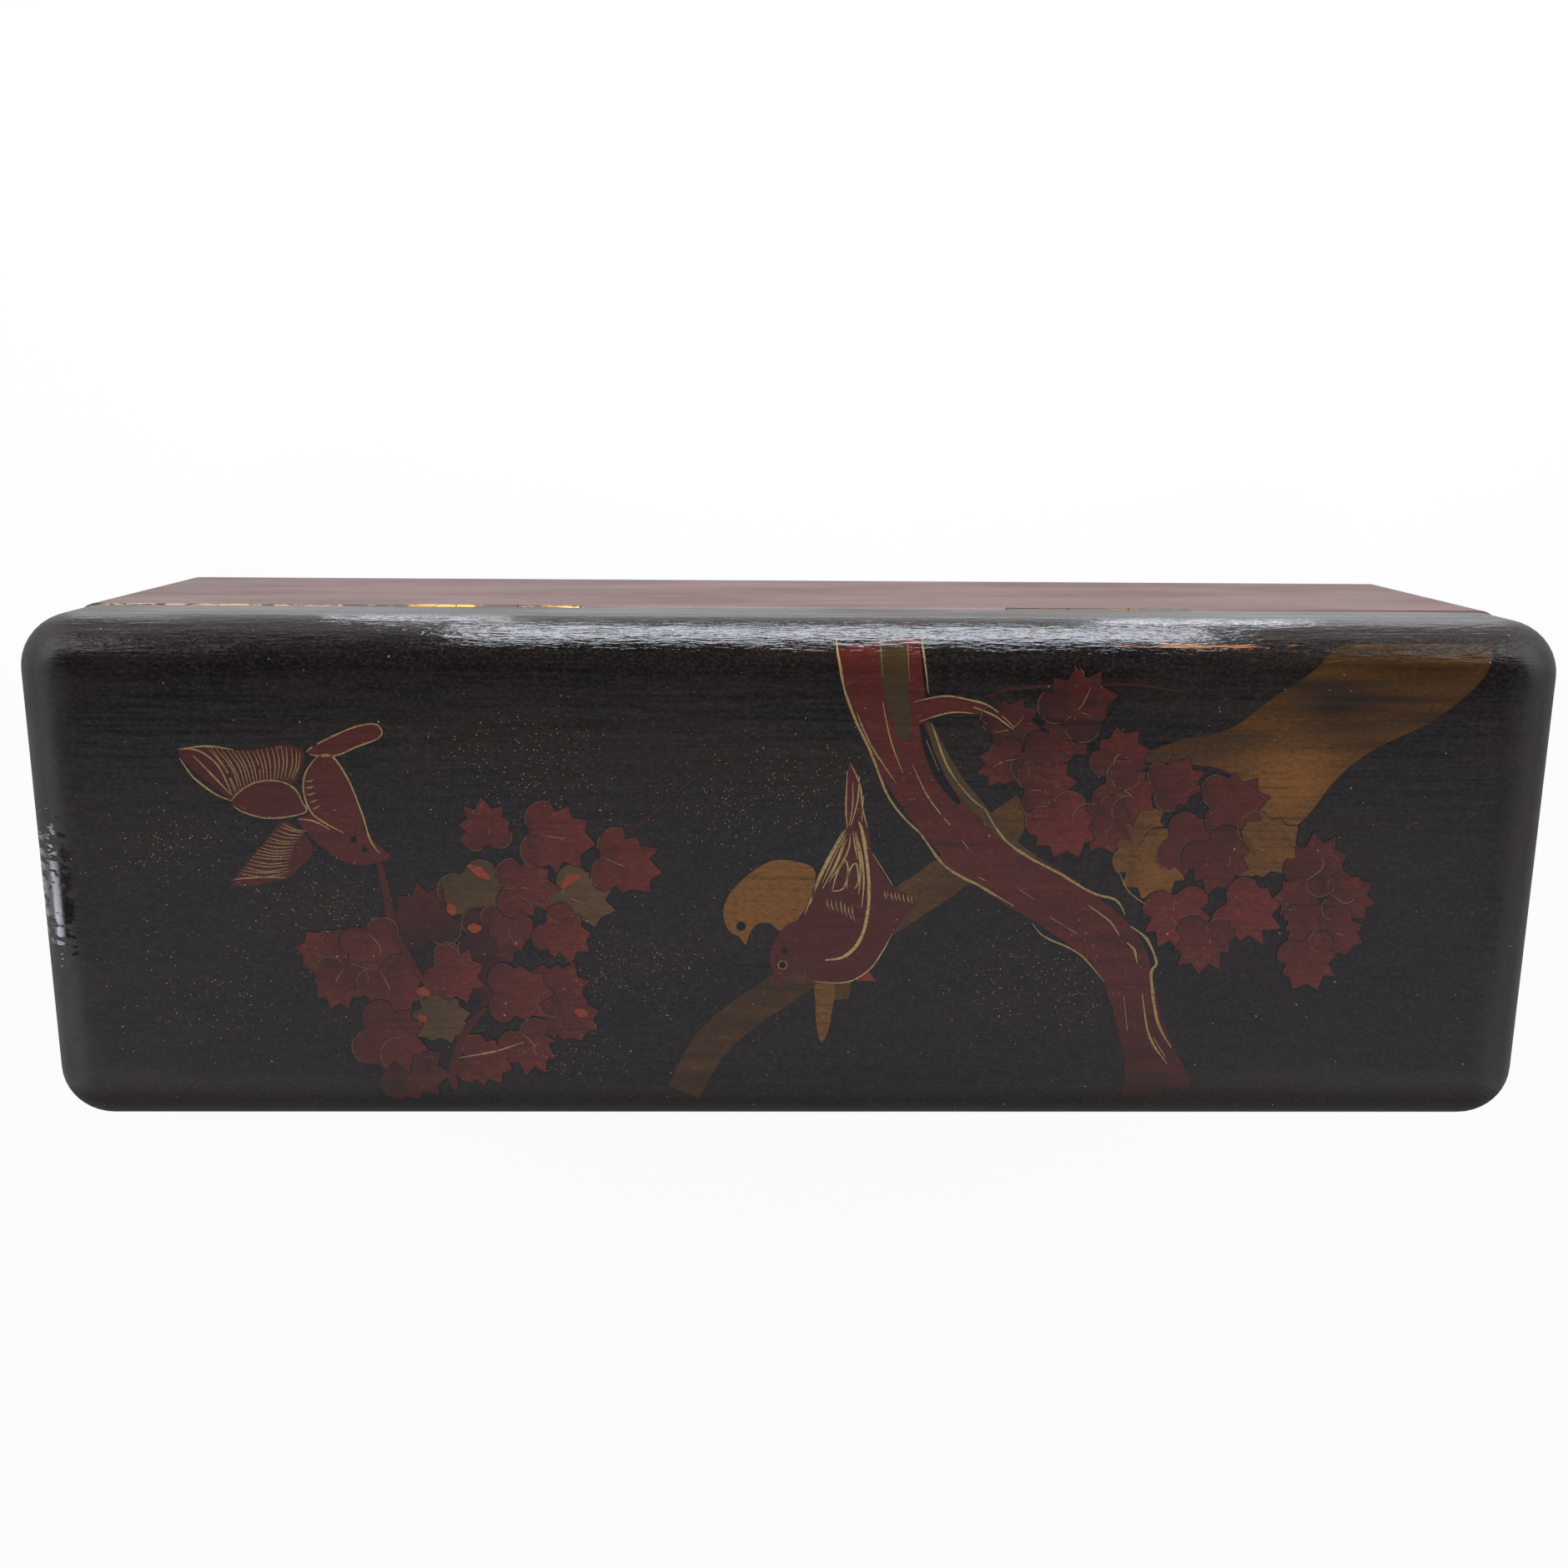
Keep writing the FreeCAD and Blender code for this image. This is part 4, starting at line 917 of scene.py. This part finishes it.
PERCHED_LINES = (
    ([(6.2, -15.2), (10.1, -14.3), (13.1, -10.4), (14.3, -4), (14.1, 2.2), (13, 9.7), (12.1, 12.3)], 0.4),
    ([(2.1, -6), (4.9, 1), (7.6, 6.6), (9.7, 10.7)], 0.24), ([(5.5, -0.9), (8.2, 4.8), (9.7, 9.8)], 0.2),
    ([(6.7, 0.4), (10, 6), (10.6, 9.8)], 0.2), ([(12.4, -2), (12.6, 4), (11.4, 10)], 0.22),
    ([(7.3, -1.5), (8.2, 2.2), (9.7, 4.7), (10.3, 2.2), (9.4, -0.9), (7.4, -1.4)], 0.2),
    ([(10, -0.9), (10.6, 2.8), (11.8, 4.1), (12.3, 0.4), (11.5, -0.9)], 0.2),
    ([(9.8, 22), (9.7, 14.7), (10, 11)], 0.18), ([(12.1, 21), (11.8, 16), (10.6, 11.3)], 0.18),
    ([(13, 17.2), (12.7, 12.2)], 0.18), ([(14.9, 6), (18.8, -0.2)], 0.22),
    ([(9.2, 10.4), (6.4, 5), (4.4, 0.4), (3.2, -4)], 0.18), ([(9.5, 9.6), (7.2, 4.4), (5.4, 0.2)], 0.16),
    ([(9.9, 8.8), (8.4, 4.6), (7, 1.4)], 0.16), ([(11.6, 10.2), (12.8, 5.5), (13.3, 0.4), (13, -4.6)], 0.2),
    ([(11, 10.4), (11.6, 7), (12.1, 4.8)], 0.16),
    ([(10.4, 23.4), (12.2, 19.4), (12.9, 14.6), (13.8, 11)], 0.18),
    ([(10.9, 20), (10.9, 15), (10.3, 11.4)], 0.14),
    ([(4.1, -19.5), (10.2, -19.7), (14.5, -17.3), (17, -13.7), (19, -9.8)], 0.14),
)
PERCHED_LINE_LEFT = 0.75
lay_outline(tans, loop_through(COMPANION), BIRD_LIFT, 0.95)
lay_outline(tans, loop_through(LEG), BIRD_LIFT, 0.75)
lay_outline(tans, [(8, -19.5), (11.4, -19.2), (10.8, -23), (8, -23.4)], BIRD_LIFT - LEAF_STEP, 0.35)
lay_outline(oranges, [(12, -19.4), (14.5, -17.4), (16, -19.4)], BIRD_LIFT - LEAF_STEP, 0.2)
lay_outline(reds, loop_through(PERCHED), BIRD_LIFT + 2 * LEAF_STEP, 0.4)
for stroke, half in PERCHED_LINES:
    gold_line(stroke, PERCHED_LINE_LEFT * half, 0.9, gaps=-0.7, ragged=0.3)
hatch([(6, -2.8), (8.6, -3.2), (11.4, -4.2)], [(6.6, -5), (9.4, -5.9), (12, -7.6)], count=7, half=0.13)
hatch([(17, -1.4), (20, -1.8), (22.7, -2.4)], [(17.6, -2.9), (20.4, -3.3), (23, -3.9)], count=8, half=0.14)

# Eyes: dark spots, as (x, y, radius), and a fine gold ring round one eye of the perched bird.
EYES = ((-82.7, 8.4, 0.6), (-80.8, 6.6, 0.5), (-10, -8.4, 0.9), (-2, -16.2, 0.6), (-1.6, -13.3, 0.6))
EYE_RING = (-2, -16.2, 0.85)
EYE_RING_HALF_WIDTH = 0.1
CIRCLE_SIDES = 12


def circle(x, y, radius):
    """Points round a circle."""
    turns = [2 * math.pi * side / CIRCLE_SIDES for side in range(CIRCLE_SIDES)]
    return [(x + radius * math.cos(turn), y + radius * math.sin(turn)) for turn in turns]


for eye in EYES:
    lay_outline(blacks, circle(*eye), LINE_LIFT, 0.5)
eye_ring = [(x, y, EYE_RING_HALF_WIDTH) for x, y in circle(*EYE_RING)]
lay_stroke(lines, eye_ring + eye_ring[:1], LINE_LIFT, 0.45)

for film, leaves, steps in ((olives, OLIVE_LEAVES, 0), (tans, TAN_LEAVES, 0), (reds, LEFT_SPRAY, 3),
                            (reds, RIGHT_SPRAY, 3)):
    lay_leaves(film, leaves, LEAF_LIFT + steps * LEAF_STEP)
for fleck in ORANGE_FLECKS:
    lay_stroke(oranges, tapered(fleck, 0.9), LINE_LIFT - LEAF_STEP, 0.5, ragged=0.3)

# Gold lines that model the branch, and two among the leaves, as (points, half width before rubbing).
BRANCH_LINES = (
    ([(7.5, 46.8), (8, 42.5), (9.3, 36.5), (11.7, 30.5), (14.1, 25.7), (17.2, 17.9), (20.2, 13.5),
      (23.9, 9.8), (28.8, 3.5), (35.4, -0.3), (42.1, -4.3)], 0.3),
    ([(45.8, -7.8), (48.2, -10.4), (53.8, -13), (56.9, -15.6), (60.2, -19.5)], 0.2),
    ([(23.2, 46.8), (23.8, 42.5), (24.6, 36.8)], 0.24), ([(16.2, 35), (17.7, 28.2), (20.2, 21.6)], 0.22),
    ([(15.6, 46.5), (16, 40)], 0.16), ([(20.6, 46), (21, 39)], 0.14),
    ([(11.4, 33), (14.1, 27), (19, 19.7)], 0.22),
    ([(22, 23.2), (25, 17.2), (29.3, 11.6)], 0.2), ([(25.4, 31), (28, 24), (30.3, 20.2)], 0.34),
    ([(24.4, 28), (27, 22)], 0.2),
    ([(35.8, 14.8), (39.6, 9.1), (44.5, 5.4), (50.6, 2.2), (56.7, -1.5), (61.6, -3.1), (63.5, -6)], 0.32),
    ([(64.6, -8.2), (67.9, -10.8), (70.1, -15.6), (69.2, -17.5), (70, -23.4), (71.4, -28.6),
      (74, -33)], 0.36),
    ([(56.2, -4), (60.5, -7.2), (62.7, -10.3)], 0.24), ([(64.2, -11.6), (65.6, -13), (66.4, -15.7)], 0.42),
    ([(64.2, -22.6), (65.2, -29.5)], 0.2), ([(67.7, -22), (69.6, -30.6), (73.4, -36.4)], 0.3),
    ([(70.4, -31), (73, -35)], 0.3), ([(49, -6.4), (54.5, -9.8)], 0.2), ([(43, -1), (46, -3)], 0.16),
    ([(30.3, 20.2), (33, 17), (35.8, 14.8)], 0.18), ([(23, 31.4), (28.5, 33.1), (33, 33)], 0.2),
    ([(22, 35.1), (27.3, 36.2), (32.1, 35.6), (36.3, 34.2), (40.8, 30.4)], 0.22),
    ([(33, 34.2), (37, 32.6), (40.6, 30)], 0.26), ([(31.8, 8.6), (33, 7)], 0.3),
    ([(35, 1.4), (37.4, 0.4)], 0.26), ([(-64.8, -35.3), (-58, -34), (-52, -32)], 0.24),
    ([(61.7, 2.8), (64, -1.4), (67.5, -4)], 0.16),
)
BRANCH_LINE_LEFT = 0.7
for stroke, half in BRANCH_LINES:
    gold_line(stroke, BRANCH_LINE_LEFT * half, 0.65, gaps=-0.6, ragged=0.6)

# Gold dust: clouds of single flakes, as (x, y, spread, number of flakes).
DUST_CLOUDS = ((-50, 23, 9, 220), (-30, -17, 7, 150), (-44, -35, 6, 100), (-89, -3, 7, 130), (1, 19, 9, 160),
               (-13, 14, 8, 110), (50, -20, 11, 230), (-117, 7, 7, 140), (-110, -20, 13, 170),
               (0, 0, 70, 320))
CLOUD_DEPTH = 0.6
FLAKE_SIZE = (0.05, 0.13)
FLAKE_CORNERS = (0, 1.7, 3.2, 4.9)
for cloud_x, cloud_y, spread, number in DUST_CLOUDS:
    for _ in range(number):
        x, y = draw.gauss(cloud_x, spread), draw.gauss(cloud_y, CLOUD_DEPTH * spread)
        size = draw.uniform(*FLAKE_SIZE)
        start = draw.uniform(0, math.pi)
        if edge_distance(x, y)[0] > EDGE_RADIUS:
            turns = [start + corner for corner in FLAKE_CORNERS]
            flake = [(x + size * math.cos(turn), y + size * math.sin(turn)) for turn in turns]
            lay(lines, flake, [(0, 1, 2, 3)], LINE_LIFT, 0.8)

ORNAMENT = (("red", reds, red_paint), ("tan", tans, tan_paint), ("olive", olives, olive_paint),
            ("orange", oranges, orange_paint), ("black", blacks, black_paint), ("gold", lines, gold))
for name, film, paint in ORNAMENT:
    finish_piece(f"ornament_{name}", film, paint)


# Floor, light and camera

def seen_rays(tree):
    """1 for what the camera sees, straight, in reflections or through clear things, and 0 otherwise."""
    rays = add(tree, "LightPath").outputs
    seen = add(tree, "Math", {0: rays["Is Camera Ray"], 1: rays["Is Glossy Ray"]}, operation="MAXIMUM")
    return add(tree, "Math", {0: seen, 1: rays["Is Transmission Ray"]}, operation="MAXIMUM")


def pale_floor():
    """Matte pale floor that the camera and reflections see nearly white, with the box's faint shadow."""
    floor_half = 3.0
    white_share = 0.92
    builder = bmesh.new()
    corners = [(-1, -1), (1, -1), (1, 1), (-1, 1)]
    builder.faces.new([builder.verts.new((x * floor_half, y * floor_half, 0)) for x, y in corners])
    mesh = bpy.data.meshes.new("floor")
    builder.to_mesh(mesh)
    builder.free()
    floor = bpy.data.objects.new("floor", mesh)
    bpy.context.scene.collection.objects.link(floor)
    material, tree = new_material("pale_paper_matte")
    paper = add(tree, "BsdfDiffuse", {"Color": linear("#EDEDED")})
    white = add(tree, "Emission", {"Color": linear("#FFFFFF"), "Strength": 1.0})
    share = add(tree, "Math", {0: seen_rays(tree), 1: white_share}, operation="MULTIPLY")
    mixed = add(tree, "MixShader", {0: share, 1: paper, 2: white})
    add(tree, "OutputMaterial", {"Surface": mixed})
    mesh.materials.append(material)


def soft_panel(name, place, target, width, height, radiance, colour="#FFFFFF", spread=180):
    """A soft lamp of even brightness, aimed at a point; place and size in metres, spread in degrees."""
    lamp = bpy.data.lights.new(name, "AREA")
    lamp.shape = "RECTANGLE"
    lamp.size = width
    lamp.size_y = height
    lamp.spread = math.radians(spread)
    lamp.energy = radiance * width * height * math.pi
    lamp.color = linear(colour)[:3]
    holder = bpy.data.objects.new(name, lamp)
    holder.location = place
    holder.rotation_mode = "QUATERNION"
    holder.rotation_quaternion = (Vector(target) - Vector(place)).to_track_quat("-Z", "Y")
    holder.visible_camera = False
    bpy.context.scene.collection.objects.link(holder)


def soft_room():
    """Even room light, dim overhead and in front of the box, with a white backdrop near the horizon."""
    world = bpy.data.worlds.new("soft_room")
    world.use_nodes = True
    tree = world.node_tree
    tree.nodes.clear()
    way = add(tree, "SeparateXYZ", {0: add(tree, "TexCoord").outputs["Generated"]})
    height = add(tree, "MapRange", {0: way.outputs["Z"], 1: 0.05, 2: 0.55, 3: 0.5, 4: 0.1})
    front = add(tree, "MapRange", {0: way.outputs["Y"], 1: -0.8, 2: 0.2, 3: 0.4, 4: 1.0})
    level = add(tree, "Math", {0: height, 1: front}, operation="MULTIPLY")
    backdrop = add(tree, "MapRange", {0: way.outputs["Z"], 1: 0.22, 2: 0.32, 3: 0.97, 4: 0.0})
    backdrop = add(tree, "Math", {0: backdrop, 1: seen_rays(tree)}, operation="MULTIPLY")
    level = add(tree, "Math", {0: level, 1: backdrop}, operation="MAXIMUM")
    sky = add(tree, "Background", {"Color": linear("#FFFFFF"), "Strength": level})
    add(tree, "OutputWorld", {"Surface": sky})
    bpy.context.scene.world = world


def photo_camera():
    """The camera of the photograph, which looks down on the lid from a little behind the box."""
    camera = bpy.data.cameras.new("camera")
    camera.sensor_width = 36.0
    camera.lens = 35.37
    holder = bpy.data.objects.new("camera", camera)
    place = Matrix.Translation(Vector((-6.8, 82.8, 363.4)) * MM)
    yaw = Matrix.Rotation(math.radians(-0.98), 4, "Y")
    pitch = Matrix.Rotation(math.radians(-12.70), 4, "X")
    roll = Matrix.Rotation(math.radians(0.43), 4, "Z")
    holder.matrix_world = place @ yaw @ pitch @ roll
    bpy.context.scene.collection.objects.link(holder)
    bpy.context.scene.camera = holder


DAYLIGHT = "#EEF4FF"

# Four soft panels round the box, as (azimuth in degrees, width).
CORNER_PANELS = ((32, 1.4), (148, 1.4), (225, 0.85), (315, 0.85))
PANEL_REACH = 1.6
PANEL_ELEVATION = math.radians(30)
PANEL_TARGET = (0, 0, 0.08)

# Low strips behind the box, which face up and put the broken glint along the foot of the lid's rounded
# back edge, as (x, width, near edge, far edge, radiance).
LOW_STRIPS = ((-0.175, 0.04, 0.11, 0.24, 1.8), (-0.094, 0.045, 0.115, 0.34, 8.0),
              (0.109, 0.055, 0.115, 0.34, 10.5), (0.165, 0.05, 0.11, 0.24, 2.1))
STRIP_HEIGHT = 0.004
STRIP_SPREAD = 135

pale_floor()
soft_room()
for number, (azimuth, width) in enumerate(CORNER_PANELS):
    around = math.radians(azimuth)
    flat = PANEL_REACH * math.cos(PANEL_ELEVATION)
    corner = (flat * math.cos(around), flat * math.sin(around), PANEL_REACH * math.sin(PANEL_ELEVATION))
    soft_panel(f"corner_panel_{number}", corner, PANEL_TARGET, width, height=0.8, radiance=2.6)
soft_panel("window_back", (0.0195, 0.30, 0.11), (0.0195, 0, 0.11), width=0.263, height=0.128, radiance=15.5,
           colour=DAYLIGHT)
for number, (x, width, near, far, radiance) in enumerate(LOW_STRIPS):
    y = (near + far) / 2
    soft_panel(f"low_strip_{number}", (x, y, STRIP_HEIGHT), (x, y, 1), width, far - near, radiance, DAYLIGHT,
               STRIP_SPREAD)
soft_panel("card_overhead", (0, -0.52, 1.08), (0, -0.52, 0), width=1.6, height=0.70, radiance=0.65,
           colour="#EEF2FF")
soft_panel("window_side", (-1.1, -0.27, 0.3), (-0.14, -0.02, 0.08), width=0.16, height=0.4, radiance=8.0,
           colour=DAYLIGHT)
photo_camera()

bpy.context.scene.view_settings.view_transform = "Standard"
